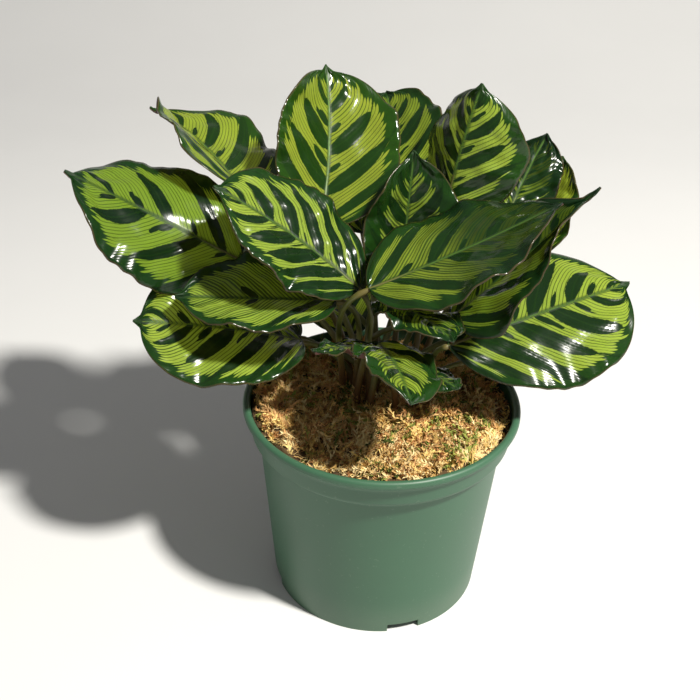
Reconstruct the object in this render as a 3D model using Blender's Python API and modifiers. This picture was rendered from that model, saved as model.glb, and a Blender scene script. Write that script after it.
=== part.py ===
"""Potted peacock calathea: a round nursery pot, potting mix, a moss layer and the leaves.

Units are metres, +Z up. The pot stands on Z = 0 with its axis on Z, and the viewer of the
plant stands at -Y, so +X is the viewer's right. Each leaf is one grown piece: a petiole that
stands in a hole through the moss, and a waved blade on top of it.
"""
import math
from collections import namedtuple

import bmesh
import bpy
from mathutils import Vector, noise

MM = 0.001

# Pot
LIP_RADIUS = 80.0 * MM
LIP_WIDTH = 4.4 * MM
LIP_ARC_STEPS = 6
POT_HEIGHT = 125.0 * MM
LIP_HEIGHT = 4.8 * MM
BAND_RADIUS = 76.5 * MM
BAND_BOTTOM = 106.5 * MM
BAND_FOOT_RADIUS = 75.5 * MM
BODY_TOP_RADIUS = 71.3 * MM
BASE_RADIUS = 62.5 * MM
WALL = 1.6 * MM
EDGE_ROUND = 0.9 * MM
FLOOR_THICKNESS = 2.0 * MM
FOOT_WIDTH = 4.0 * MM
CHANNEL_HEIGHT = 7.0 * MM
CHANNEL_INNER_RADIUS = 42.0 * MM
TURN_STEPS = 40
MERGE_DISTANCE = 0.00001
SMOOTH_ANGLE = math.radians(40.0)
NOTCH_COUNT = 4
NOTCH_ANGLE = math.radians(-72.5)
NOTCH_WIDTH = 19.0 * MM
NOTCH_HEIGHT = 5.5 * MM
DRAIN_RADIUS = 4.5 * MM
DRAIN_CIRCLE = 51.0 * MM

# Soil and moss
GAP = 0.3 * MM
MIX_TOP = 98.0 * MM
MOSS_EDGE_HEIGHT = 118.5 * MM
MOSS_DOME = 2.5 * MM
MOSS_LUMP = 5.0 * MM
MOSS_LUMP_SIZE = 16.0 * MM
MOSS_LUMP_AT_EDGE = 0.5
MOSS_SLOPE = Vector((-0.025, -0.015, 0.0))
MOSS_RINGS = 7
CROWN_CENTRE = Vector((0.0, 14.0 * MM, 0.0))

# Leaves
BLADE_THICKNESS = 0.8 * MM
BLADE_ROWS = 13
BLADE_COLUMNS = 4
ROW_CROWDING = 0.65
TIP_HALF_WIDTH = 0.9 * MM
CUSP_START = 0.96
CUSP_REACH = 0.9
CUSP_SPREAD = 30.0 * MM
OUTLINE_ROUNDNESS = 0.5
TIP_START = 4
FURL_FADE = 0.1
WAVE_HEIGHT = 2.8 * MM
WAVE_POWER = 2.5
WAVES_PER_EDGE = 2.6
WAVE_SHIFT = 2.1
WAVE_TURN = 2.4
MIDRIB_STEPS = 48
PETIOLE_BEND = 124.0 * MM
PETIOLE_POINTS = 8
PETIOLE_RADIUS = 2.0 * MM
PETIOLE_THINNING = 0.75 * MM
PULVINUS_SWELL = 0.5 * MM
PULVINUS_PLACE = 0.93
PULVINUS_SPAN = 0.06
MIDRIB_REACH = (0.15, 0.3)
MIDRIB_RADII = (1.0 * MM, 0.7 * MM)
MIDRIB_DEPTH = 0.6 * MM
SOCKET_DEPTH = 9.0 * MM
PETIOLE_FOOT = MIX_TOP - SOCKET_DEPTH + GAP
SOCKET_CLEARANCE = 0.4 * MM
SOCKET_SIDES = 8

POT_GREEN = (0.125, 0.235, 0.15)
POT_ROUGHNESS = 0.45
MIX_BROWN = (0.045, 0.03, 0.02)
MOSS_TAN = (0.34, 0.235, 0.115)
FILL_ROUGHNESS = 0.95
LEAF_GREEN = (0.16, 0.27, 0.045)
LEAF_ROUGHNESS = 0.4

# One leaf. crown: ring radius in mm and clock angle in degrees of the place where the petiole
# stands. joint: where the blade starts, mm. heading and pitch: the midrib's direction there,
# degrees; it droops and sweeps by these angles towards the tip. length: of the blade, mm.
# width: as a share of the length. roll: the blade's turn about its midrib, with a twist added
# by the tip. fold: how far the halves are raised, degrees, with a furl added near the tip. cup:
# how far they curl back down. lean: below 1 the blade is widest nearer its joint, above 1
# nearer its tip. point: how sharp the tip is. rise and approach: how far the petiole keeps its
# first and its last direction, as shares of its chord.
Leaf = namedtuple(
    "Leaf",
    "name crown joint heading pitch length width droop sweep roll twist fold furl cup lean point "
    "rise approach",
    defaults=(0.7, 20, 0, 0, 0, 15, 0, -0.15, 1.0, 0.1, 0.35, 0.28),
)

LEAVES = (
    Leaf(
        "leaf_left_large", (20, 165), (-81, 10, 204), 183, 30, 103,
        width=0.75, droop=0, sweep=5, roll=-60, twist=60, fold=5, cup=-0.2, approach=0.15,
    ),
    Leaf(
        "leaf_left_rear", (26, 145), (-83, 24, 240), 115, 10, 100,
        width=0.73, droop=0, sweep=30, roll=22, twist=-5, furl=20, cup=0.0, lean=0.8,
        point=0.8,
    ),
    Leaf(
        "leaf_left_centre", (22, 230), (-15, -9, 200), 170, 40, 95,
        droop=5, sweep=30, roll=-25, twist=-5,
    ),
    Leaf(
        "leaf_back_tall", (14, 160), (-38, 22, 220), 80, 45, 94,
        width=0.82, droop=-10, sweep=25, roll=20, twist=5, fold=20, cup=0.15, point=0,
    ),
    Leaf(
        "leaf_back_middle", (12, 60), (6, 67, 221), 100, 45, 80,
        width=0.73, droop=30, roll=5, twist=-10, fold=20, cup=0.15, point=0,
    ),
    Leaf(
        "leaf_back_right", (19, 20), (30, 39, 223), 40, 78, 74,
        width=0.84, droop=10, sweep=5, roll=20, twist=-10, fold=-10, cup=-0.5,
    ),
    Leaf(
        "leaf_centre_small", (6, 110), (7, 29, 180), 50, 85, 82,
        droop=0, sweep=10, roll=45, twist=10, fold=20, cup=0.1, rise=0.5,
    ),
    Leaf(
        "leaf_right_centre", (24, 195), (-9, -26, 209), 16, 18, 108,
        droop=-10, sweep=-5, roll=20, twist=-30, fold=10, cup=-0.1,
    ),
    Leaf(
        "leaf_right_folded", (20, 135), (36, -5, 182), 14, 40, 104,
        width=0.72, droop=-10, sweep=-5, twist=20, fold=0, furl=75, cup=-0.35, lean=0.85,
        point=1.2, rise=0.5, approach=0.15,
    ),
    Leaf(
        "leaf_right_back", (26, 30), (67, 62, 210), 60, 45, 60,
        droop=5, sweep=-5, roll=20, twist=-20, fold=5, cup=-0.2,
    ),
    Leaf(
        "leaf_right_rear", (25, 50), (88, 63, 189), 70, 60, 60,
        droop=5, sweep=-5, roll=-10, twist=-5, fold=20, cup=0.0, rise=0.5,
    ),
    Leaf(
        "leaf_right_low", (27, 0), (35, -11, 168), 22, 12, 115,
        width=0.8, droop=5, sweep=5, roll=28, twist=-10, fold=0, lean=1.2, point=0,
        rise=0.5, approach=0.15,
    ),
    Leaf(
        "leaf_left_folded", (18, 210), (-27, -11, 193), 194, 6, 85,
        width=0.66, droop=5, sweep=-10, roll=-15, twist=-5, cup=-0.05,
    ),
    Leaf(
        "leaf_left_low", (11, 200), (-47, 8, 155), 216, 29, 99,
        width=0.77, droop=25, sweep=-30, roll=-15, twist=-30, fold=10, cup=-0.1, lean=1.15,
        point=0, rise=0.5,
    ),
    Leaf(
        "leaf_front_drooping", (24, 290), (-3, -27, 177), -70, 15, 66,
        sweep=-10, roll=-5, twist=-25, approach=0.15,
    ),
    Leaf(
        "leaf_front_right_small", (15, 240), (-2, -7, 191), -47, 17, 63,
        sweep=-15, roll=-20, twist=15, fold=10, cup=-0.2,
    ),
    Leaf(
        "leaf_front_right_low", (8, 240), (14, -2, 150), -40, 5, 38,
        droop=5, sweep=-10, roll=-5, fold=5, cup=-0.3,
    ),
    Leaf(
        "leaf_front_left_small", (24, 255), (-8, -13, 167), 219, 18, 40,
        width=0.64, droop=5, sweep=10, twist=20, fold=10, cup=-0.25,
    ),
    Leaf(
        "leaf_hidden_right_rear", (12, 300), (31, 57, 165), 55, 10, 95,
        droop=25, sweep=-5, twist=-10,
    ),
    Leaf(
        "leaf_hidden_rear_right", (22, 95), (18, 58, 174), 75, 10, 95,
        droop=25, sweep=5,
    ),
    Leaf(
        "leaf_hidden_rear", (20, 115), (-19, 50, 136), 115, 25, 100,
        droop=30,
    ),
    Leaf(
        "leaf_hidden_rear_left", (17, 80), (-42, 49, 171), 140, 5, 100,
        twist=5,
    ),
    Leaf(
        "leaf_hidden_left_low", (17, 185), (-49, 19, 151), 165, 5, 80,
        sweep=5, cup=-0.05,
    ),
    Leaf(
        "leaf_hidden_right_low", (24, 325), (46, 8, 146), 10, 5, 78,
        roll=-5,
    ),
    Leaf(
        "leaf_hidden_right", (12, 15), (55, 19, 161), 30, -8, 75,
        droop=15, sweep=-5, twist=5, cup=-0.1,
    ),
    Leaf(
        "leaf_hidden_rear_tall", (13, 110), (-15, 43, 208), 115, 45, 80,
        droop=25, sweep=5, roll=10, twist=-5,
    ),
)


def clear_scene():
    for obj in list(bpy.data.objects):
        bpy.data.objects.remove(obj, do_unlink=True)


def make_material(name, colour, roughness):
    material = bpy.data.materials.new(name)
    material.use_nodes = True
    shader = material.node_tree.nodes["Principled BSDF"]
    shader.inputs["Base Color"].default_value = (*colour, 1.0)
    shader.inputs["Roughness"].default_value = roughness
    shader.inputs["Metallic"].default_value = 0.0
    return material


def link_object(name, mesh, collection=None):
    obj = bpy.data.objects.new(name, mesh)
    (collection or bpy.context.scene.collection).objects.link(obj)
    return obj


def make_collection(name):
    collection = bpy.data.collections.new(name)
    bpy.context.scene.collection.children.link(collection)
    return collection


def evaluated_mesh(obj):
    depsgraph = bpy.context.evaluated_depsgraph_get()
    return bpy.data.meshes.new_from_object(obj.evaluated_get(depsgraph))


def apply_modifiers(obj):
    mesh = evaluated_mesh(obj)
    obj.modifiers.clear()
    obj.data = mesh


def finish_piece(obj, colour, roughness):
    obj.data.materials.clear()
    obj.data.materials.append(make_material(obj.name, colour, roughness))
    obj.data.shade_smooth()
    obj.data.set_sharp_from_angle(angle=SMOOTH_ANGLE)


def turned_piece(name, profile, collection):
    """A profile of (radius, height) points, down the outer side, turned round Z."""
    mesh = bpy.data.meshes.new(name)
    points = [(radius, 0.0, height) for radius, height in profile]
    edges = [(index, index + 1) for index in range(len(points) - 1)]
    mesh.from_pydata(points, edges, [])
    obj = link_object(name, mesh, collection)
    screw = obj.modifiers.new("turn", "SCREW")
    screw.axis = "Z"
    screw.steps = TURN_STEPS
    screw.render_steps = TURN_STEPS
    screw.use_merge_vertices = True
    screw.merge_threshold = MERGE_DISTANCE
    apply_modifiers(obj)
    return obj


def cut_with(obj, cutters):
    """Cuts every object of a collection out of a piece."""
    cut = obj.modifiers.new("cut", "BOOLEAN")
    cut.operation = "DIFFERENCE"
    cut.operand_type = "COLLECTION"
    cut.collection = cutters
    cut.solver = "EXACT"
    apply_modifiers(obj)


def mark_cutter(obj, collection):
    for owner in list(obj.users_collection):
        owner.objects.unlink(obj)
    collection.objects.link(obj)
    obj.hide_render = True
    obj.display_type = "WIRE"


def add_cylinder_cutter(name, radius, bottom, top, x, y, collection):
    bpy.ops.mesh.primitive_cylinder_add(
        vertices=SOCKET_SIDES,
        radius=radius,
        depth=top - bottom,
        location=(x, y, (top + bottom) / 2.0),
    )
    cutter = bpy.context.active_object
    cutter.name = name
    mark_cutter(cutter, collection)


def body_inner_radius(height):
    share = height / BAND_BOTTOM
    return BASE_RADIUS + (BODY_TOP_RADIUS - BASE_RADIUS) * share - WALL


def band_inner_radius():
    return BAND_RADIUS - WALL


def lip_arc():
    """The half round of the lip, from its inner side over the top to its outer side."""
    radius = LIP_WIDTH / 2.0
    centre = LIP_RADIUS - radius
    points = []
    for step in range(LIP_ARC_STEPS + 1):
        angle = math.pi * (1.0 - step / LIP_ARC_STEPS)
        height = POT_HEIGHT - radius + radius * math.sin(angle)
        points.append((centre + radius * math.cos(angle), height))
    return points


def pot_profile():
    floor_top = CHANNEL_HEIGHT + FLOOR_THICKNESS
    inside = [
        (0.0, FLOOR_THICKNESS),
        (CHANNEL_INNER_RADIUS - FLOOR_THICKNESS, FLOOR_THICKNESS),
        (CHANNEL_INNER_RADIUS - FLOOR_THICKNESS, floor_top),
        (body_inner_radius(floor_top), floor_top),
        (body_inner_radius(BAND_BOTTOM), BAND_BOTTOM + WALL),
        (band_inner_radius(), BAND_BOTTOM + WALL),
    ]
    outside = [
        (LIP_RADIUS, POT_HEIGHT - LIP_HEIGHT),
        (BAND_RADIUS, POT_HEIGHT - LIP_HEIGHT),
        (BAND_FOOT_RADIUS, BAND_BOTTOM + EDGE_ROUND),
        (BAND_FOOT_RADIUS - EDGE_ROUND, BAND_BOTTOM),
        (BODY_TOP_RADIUS, BAND_BOTTOM),
        (BASE_RADIUS, EDGE_ROUND),
        (BASE_RADIUS - EDGE_ROUND, 0.0),
        (BASE_RADIUS - FOOT_WIDTH, 0.0),
        (BASE_RADIUS - FOOT_WIDTH, CHANNEL_HEIGHT),
        (CHANNEL_INNER_RADIUS, CHANNEL_HEIGHT),
        (CHANNEL_INNER_RADIUS, 0.0),
        (0.0, 0.0),
    ]
    return inside + lip_arc() + outside


def add_notch_cutter(angle, collection):
    """A box through the foot ring, open below, at one of the drain notches."""
    radius = BASE_RADIUS - FOOT_WIDTH / 2.0
    bpy.ops.mesh.primitive_cube_add(
        size=1.0,
        location=(radius * math.cos(angle), radius * math.sin(angle), 0.0),
        rotation=(0.0, 0.0, angle),
        scale=(FOOT_WIDTH * 2.0, NOTCH_WIDTH, NOTCH_HEIGHT * 2.0),
    )
    cutter = bpy.context.active_object
    cutter.name = f"notch_cutter_{math.degrees(angle):.0f}"
    mark_cutter(cutter, collection)


def build_pot(parts):
    pot = turned_piece("pot", pot_profile(), parts)
    cutters = make_collection("pot_cutters")
    for index in range(NOTCH_COUNT):
        angle = NOTCH_ANGLE + index * 2.0 * math.pi / NOTCH_COUNT
        add_notch_cutter(angle, cutters)
        add_cylinder_cutter(
            f"drain_cutter_{index}",
            DRAIN_RADIUS,
            CHANNEL_HEIGHT - FLOOR_THICKNESS,
            CHANNEL_HEIGHT + 2.0 * FLOOR_THICKNESS,
            DRAIN_CIRCLE * math.cos(angle),
            DRAIN_CIRCLE * math.sin(angle),
            cutters,
        )
    cut_with(pot, cutters)
    finish_piece(pot, POT_GREEN, POT_ROUGHNESS)


def mix_profile():
    floor_top = CHANNEL_HEIGHT + FLOOR_THICKNESS + GAP
    centre_edge = CHANNEL_INNER_RADIUS - FLOOR_THICKNESS - GAP
    return [
        (0.0, MIX_TOP),
        (body_inner_radius(MIX_TOP) - GAP, MIX_TOP),
        (body_inner_radius(floor_top) - GAP, floor_top),
        (centre_edge, floor_top),
        (centre_edge, FLOOR_THICKNESS + GAP),
        (0.0, FLOOR_THICKNESS + GAP),
    ]


def moss_height(x, y):
    """Height of the moss at a place: a low dome with lumps, lower to the right and the back."""
    share = min(1.0, math.hypot(x, y) / band_inner_radius())
    dome = MOSS_DOME * (1.0 - share * share)
    place = Vector((x, y, 0.0)) / MOSS_LUMP_SIZE
    lumps = noise.noise(place) * MOSS_LUMP * (1.0 + (MOSS_LUMP_AT_EDGE - 1.0) * share)
    slope = MOSS_SLOPE.x * x + MOSS_SLOPE.y * y
    return MOSS_EDGE_HEIGHT + dome + lumps + slope


def moss_profile():
    radius = band_inner_radius() - GAP
    ledge = BAND_BOTTOM + WALL + GAP
    bottom = MIX_TOP + GAP
    top = []
    for ring in range(MOSS_RINGS + 1):
        top.append((radius * ring / MOSS_RINGS, MOSS_EDGE_HEIGHT))
    side = [
        (radius, ledge),
        (body_inner_radius(BAND_BOTTOM) - GAP, ledge),
        (body_inner_radius(bottom) - GAP, bottom),
        (0.0, bottom),
    ]
    return top + side


def socket_cutters(leaves):
    """One plain upright hole for each petiole, through the moss and blind in the mix."""
    cutters = make_collection("socket_cutters")
    for leaf in leaves:
        x, y = crown_place(leaf)
        add_cylinder_cutter(
            f"socket_cutter_{leaf.name}",
            PETIOLE_RADIUS + SOCKET_CLEARANCE,
            MIX_TOP - SOCKET_DEPTH,
            POT_HEIGHT,
            x,
            y,
            cutters,
        )
    return cutters


def build_fill(parts, leaves):
    mix = turned_piece("potting_mix", mix_profile(), parts)
    moss = turned_piece("moss_top", moss_profile(), parts)
    for vertex in moss.data.vertices:
        if vertex.co.z > MOSS_EDGE_HEIGHT - GAP:
            vertex.co.z = moss_height(vertex.co.x, vertex.co.y)
    cutters = socket_cutters(leaves)
    cut_with(mix, cutters)
    cut_with(moss, cutters)
    finish_piece(mix, MIX_BROWN, FILL_ROUGHNESS)
    finish_piece(moss, MOSS_TAN, FILL_ROUGHNESS)


def crown_place(leaf):
    """Where a petiole stands: a ring of the crown and a clock angle on it."""
    ring, angle = leaf.crown
    x = CROWN_CENTRE.x + ring * MM * math.cos(math.radians(angle))
    y = CROWN_CENTRE.y + ring * MM * math.sin(math.radians(angle))
    return x, y


def midrib_frames(leaf):
    """Points of the midrib with its direction, its side and its up direction."""
    frames = []
    point = Vector(leaf.joint) * MM
    step = leaf.length * MM / MIDRIB_STEPS
    previous = None
    for index in range(MIDRIB_STEPS + 1):
        share = index / MIDRIB_STEPS
        heading = math.radians(leaf.heading + leaf.sweep * share)
        pitch = math.radians(leaf.pitch - leaf.droop * share)
        roll = math.radians(leaf.roll + leaf.twist * share)
        forward = Vector(
            (
                math.cos(pitch) * math.cos(heading),
                math.cos(pitch) * math.sin(heading),
                math.sin(pitch),
            )
        )
        level_side = Vector((-math.sin(heading), math.cos(heading), 0.0))
        level_up = forward.cross(level_side)
        side = level_side * math.cos(roll) + level_up * math.sin(roll)
        up = level_up * math.cos(roll) - level_side * math.sin(roll)
        if previous is not None:
            point = point + (previous + forward) * 0.5 * step
        previous = forward
        frames.append((point.copy(), forward, side, up))
    return frames


def frame_at(frames, share):
    """The midrib point, side and up direction at a share of its length."""
    place = share * MIDRIB_STEPS
    index = min(int(place), MIDRIB_STEPS - 1)
    rest = place - index
    low = frames[index]
    high = frames[index + 1]
    return tuple(low[item].lerp(high[item], rest) for item in (0, 2, 3))


def half_width(leaf, share):
    """Half the blade's width at a share of its length: a rounded oval with a short cusp."""
    along = min(share / CUSP_START, 1.0)
    reach = 2.0 * along**leaf.lean - 1.0
    roundness = OUTLINE_ROUNDNESS + leaf.point * along**TIP_START
    oval = leaf.width * leaf.length * MM / 2.0 * max(0.0, 1.0 - reach * reach) ** roundness
    least = TIP_HALF_WIDTH
    if share > CUSP_REACH:
        least += CUSP_SPREAD * (1.0 - share)
    return max(least, oval)


def blade_point(leaf, phase, frames, share, across):
    """A point of the blade: share runs from joint to tip, across from -1 to 1."""
    point, side, up = frame_at(frames, share)
    width = half_width(leaf, share)
    furl = leaf.furl * share * min(1.0, (1.0 - share) / FURL_FADE)
    fold = math.radians(leaf.fold + furl)
    lateral = across * width * math.cos(fold)
    rise = abs(across) * width * math.sin(fold) + leaf.cup * width * across * across
    shift = 0.0 if across >= 0.0 else WAVE_SHIFT
    wave = math.sin(2.0 * math.pi * WAVES_PER_EDGE * share + phase + shift)
    rise += WAVE_HEIGHT * abs(across) ** WAVE_POWER * math.sin(math.pi * share) * wave
    return point + side * lateral + up * rise


def row_share(even):
    """Rows lie closer together at the joint and at the tip, where the outline bends."""
    crowded = (1.0 - math.cos(math.pi * even)) / 2.0
    return even + (crowded - even) * ROW_CROWDING


def build_blade(leaf, phase, frames, parts):
    """A grid bent to the leaf's form, split into triangles and then given its thickness."""
    sheet = bmesh.new()
    bmesh.ops.create_grid(sheet, x_segments=BLADE_ROWS, y_segments=BLADE_COLUMNS, size=1.0)
    for vertex in sheet.verts:
        share = row_share((vertex.co.x + 1.0) / 2.0)
        vertex.co = blade_point(leaf, phase, frames, share, vertex.co.y)
    bmesh.ops.triangulate(sheet, faces=sheet.faces[:])
    mesh = bpy.data.meshes.new(leaf.name)
    sheet.to_mesh(mesh)
    sheet.free()
    blade = link_object(leaf.name, mesh, parts)
    solidify = blade.modifiers.new("thickness", "SOLIDIFY")
    solidify.thickness = BLADE_THICKNESS
    solidify.offset = 0.0
    return blade


def cubic(points, share):
    """A point of the cubic curve with these four control points."""
    rest = 1.0 - share
    weights = (rest**3, 3 * share * rest**2, 3 * share**2 * rest, share**3)
    total = Vector((0.0, 0.0, 0.0))
    for weight, point in zip(weights, points):
        total += point * weight
    return total


def petiole_path(leaf, frames):
    """Points and radii of the petiole, from its foot in the mix to under the blade."""
    x, y = crown_place(leaf)
    bend = Vector((x, y, PETIOLE_BEND))
    joint, forward, _, up = frames[0]
    chord = (joint - bend).length
    controls = (
        bend,
        bend + Vector((0.0, 0.0, leaf.rise * chord)),
        joint - forward * leaf.approach * chord,
        joint - up * MIDRIB_DEPTH,
    )
    path = [(Vector((x, y, PETIOLE_FOOT)), PETIOLE_RADIUS)]
    for index in range(PETIOLE_POINTS):
        share = index / (PETIOLE_POINTS - 1)
        swell = math.exp(-(((share - PULVINUS_PLACE) / PULVINUS_SPAN) ** 2))
        radius = PETIOLE_RADIUS - PETIOLE_THINNING * share + PULVINUS_SWELL * swell
        path.append((cubic(controls, share), radius))
    for share, radius in zip(MIDRIB_REACH, MIDRIB_RADII):
        point, _, up = frame_at(frames, share)
        path.append((point - up * MIDRIB_DEPTH, radius))
    return path


def build_petiole(leaf, frames):
    """The petiole as a tapered tube, turned into a closed mesh."""
    path = petiole_path(leaf, frames)
    curve = bpy.data.curves.new(f"{leaf.name}_petiole", "CURVE")
    curve.dimensions = "3D"
    curve.bevel_depth = PETIOLE_RADIUS
    curve.bevel_resolution = 1
    curve.use_fill_caps = True
    spline = curve.splines.new("POLY")
    spline.points.add(len(path) - 1)
    for spline_point, (place, radius) in zip(spline.points, path):
        spline_point.co = (*place, 1.0)
        spline_point.radius = radius / PETIOLE_RADIUS
    tube = link_object(curve.name, curve)
    mesh = evaluated_mesh(tube)
    solid = bmesh.new()
    solid.from_mesh(mesh)
    bmesh.ops.remove_doubles(solid, verts=solid.verts[:], dist=MERGE_DISTANCE)
    bmesh.ops.recalc_face_normals(solid, faces=solid.faces[:])
    solid.to_mesh(mesh)
    solid.free()
    petiole = link_object(f"{leaf.name}_petiole_mesh", mesh)
    petiole.matrix_world = tube.matrix_world.copy()
    bpy.data.objects.remove(tube, do_unlink=True)
    return petiole


def build_leaf(leaf, phase, parts):
    """One grown piece: the waved blade joined to its petiole."""
    frames = midrib_frames(leaf)
    blade = build_blade(leaf, phase, frames, parts)
    petiole = build_petiole(leaf, frames)
    join = blade.modifiers.new("petiole", "BOOLEAN")
    join.operation = "UNION"
    join.solver = "EXACT"
    join.object = petiole
    apply_modifiers(blade)
    bpy.data.objects.remove(petiole, do_unlink=True)
    finish_piece(blade, LEAF_GREEN, LEAF_ROUGHNESS)


def main():
    clear_scene()
    parts = make_collection("potted_calathea")
    build_pot(parts)
    build_fill(parts, LEAVES)
    for index, leaf in enumerate(LEAVES):
        build_leaf(leaf, WAVE_TURN * index, parts)


main()
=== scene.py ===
"""Potted peacock calathea, dressed for rendering.

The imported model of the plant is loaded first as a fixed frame. Finer leaves, a finer turned pot
and a rough moss bed replace its solids, moss sprigs and strands are added, and every surface
gets its finish. Sizes in the tables are millimetres and degrees; everything in the scene is
metres, +Z up, with the viewer at -Y.
"""
import math
import random
from collections import namedtuple
from types import SimpleNamespace

import bmesh
import bpy
from mathutils import Matrix, Vector, noise


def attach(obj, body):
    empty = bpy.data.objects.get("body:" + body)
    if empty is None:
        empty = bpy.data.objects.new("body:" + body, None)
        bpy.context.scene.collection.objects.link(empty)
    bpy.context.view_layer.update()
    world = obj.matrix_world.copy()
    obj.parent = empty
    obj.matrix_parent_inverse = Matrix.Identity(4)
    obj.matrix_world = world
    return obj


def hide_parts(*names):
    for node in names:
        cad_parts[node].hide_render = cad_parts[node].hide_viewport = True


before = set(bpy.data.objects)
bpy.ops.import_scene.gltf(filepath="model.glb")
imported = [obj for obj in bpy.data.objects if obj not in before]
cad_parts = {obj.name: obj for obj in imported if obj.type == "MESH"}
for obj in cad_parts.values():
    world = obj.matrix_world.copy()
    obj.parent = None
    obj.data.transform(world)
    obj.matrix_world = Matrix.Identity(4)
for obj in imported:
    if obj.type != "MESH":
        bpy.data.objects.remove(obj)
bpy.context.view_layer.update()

bl_info = {
    "name": "Potted Calathea",
    "version": (1, 0, 0),
    "blender": (4, 5, 0),
    "location": "View3D > Sidebar > Calathea",
    "description": "Builds a peacock calathea in its nursery pot, piece by piece",
    "category": "Add Mesh",
}

MM = 0.001
BODY = "root"
CROWN_CENTRE = Vector((0.0, 14.0 * MM, 0.0))

# Leaf outline and waves, by the rules of the solid leaves, with thinner tips
MIDRIB_STEPS = 48
ROW_CROWDING = 0.8
MIDRIB_CROWDING = 0.6
TIP_HALF_WIDTH = 0.5 * MM
TIP_POINT = 0.2 * MM
CUSP_START = 0.96
CUSP_REACH = 0.9
CUSP_SPREAD = 30.0 * MM
ROUND_TIP_SPREAD = 55.0 * MM
OUTLINE_ROUNDNESS = 0.5
TIP_START = 4
FURL_FADE = 0.1
WAVE_POWER = 2.5
WAVES_PER_EDGE = 2.6
WAVE_SHIFT = 2.1
WAVE_TURN = 2.4

# Finer relief of a leaf
VEIN_SLANT = 0.28
VEIN_CURVE = 0.14
VEIN_POWER = 2.5
RIPPLES_ALONG = 15.0
RIPPLE_POWER = 3.5
BULGES_ALONG = 9.0
BULGES_ACROSS = 3.5
MIDRIB_RELIEF = 0.2 * MM
MIDRIB_RELIEF_REACH = 1.6 * MM

# Petiole and the rib that runs on from it under the blade
PETIOLE_FOOT = 89.3 * MM
PETIOLE_BEND = 124.0 * MM
PETIOLE_RADIUS = 2.0 * MM
PETIOLE_THINNING = 0.75 * MM
PULVINUS_SWELL = 0.5 * MM
PULVINUS_PLACE = 0.93
PULVINUS_SPAN = 0.06
MIDRIB_DEPTH = 0.6 * MM
STALK_RINGS = 28
STALK_SIDES = 12
STALK_SHARE = 0.8
STALK_SLOT = 2
RIB_RINGS = 14
RIB_REACH = 0.93
RIB_TAPER = 0.8
RIB_RISE = 0.6
RIB_LEAST = 0.15 * MM

# Leaf markings
SEED_STEP = 0.618034
SEED_START = 0.13
CELLS_BEFORE = 10.0
WOBBLE = 0.012
LARGE_REACH = 0.54
LARGE_REACH_LOSS = 0.34
LARGE_REACH_SPREAD = 0.10
LARGE_CENTRE = 0.88
LARGE_ROUNDNESS = 0.7
LARGE_WIDTH_LIMIT = 0.37
LARGE_SHRINKING = (0.40, 1.0, 0.0, 0.75)
LARGE_SOFTNESS = 0.004
HEART_WIDTH = 0.004
VEIN_TAIL = 0.010
SMALL_REACH = 0.08
SMALL_REACH_SPREAD = 0.07
SMALL_CENTRE = 1.1
SMALL_ROUNDNESS = 0.5
SMALL_LEAST_PITCH = 0.15
SMALL_MOST_ROOM = 0.09
SMALL_SCATTER = 0.02
SMALL_SOFTNESS = 0.003
TICK_STEP = 1.1 * MM
BRUSH_CURVE = 2.6 * MM
BRUSH_SCATTER = 4.2 * MM
BORDER_SOFTNESS = 0.6 * MM
LINE_SOFTNESS = 0.3 * MM
LINE_WIDTH = 0.6 * MM
RIB_SIDE_WIDTH = 1.4 * MM
LEAF_FLESH = {
    "Specular IOR Level": 0.30,
    "Subsurface Weight": 0.10,
    "Subsurface Radius": (0.6, 1.0, 0.15),
    "Subsurface Scale": 1.2 * MM,
}
FACE_GLOW = (0.56, 0.74, 0.05)
BACK_GLOW = (0.92, 0.88, 0.62)

# Pot, where it isn't set in its sizes
POT_FLOOR = 2.0 * MM
CHANNEL_TOP = 7.0 * MM
CHANNEL_RADIUS = 42.0 * MM
FOOT_WIDTH = 4.0 * MM
LIP_STEPS = 16
CORNER_STEPS = 4
CORNER_SHARE = 0.45
INNER_ROUND = 0.8 * MM
BAND_ROUND = 2.2 * MM
FOOT_ROUND = 0.7 * MM
NOTCH_COUNT = 4
NOTCH_CENTRE = 61.0 * MM
NOTCH_DEPTH = 8.0 * MM
SHARP_ANGLE = math.radians(35.0)
MERGE_DISTANCE = 0.01 * MM
TURNED_MARKS = 5200.0
DUSTY_FOOT = 30.0 * MM

# Moss bed
MOSS_REACH = 74.6 * MM
MOSS_SLOPE = Vector((-0.025, -0.015, 0.0))
FINE_LUMP_SIZE = 11.0 * MM
FINE_LUMP_HEIGHT = 4.6 * MM
FINE_LUMP_LEVELS = (0.8, 2.1, 3)
LUMP_FADE = 0.5
BED_RINGS = 70
BED_STEPS = 144
BED_SHOULDER = 108.5 * MM
BED_TOP_MARGIN = 1.0 * MM
BED_BOTTOM = 98.3 * MM
BED_NECK_RADIUS = 69.0 * MM
BED_FOOT_RADIUS = 68.2 * MM

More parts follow.
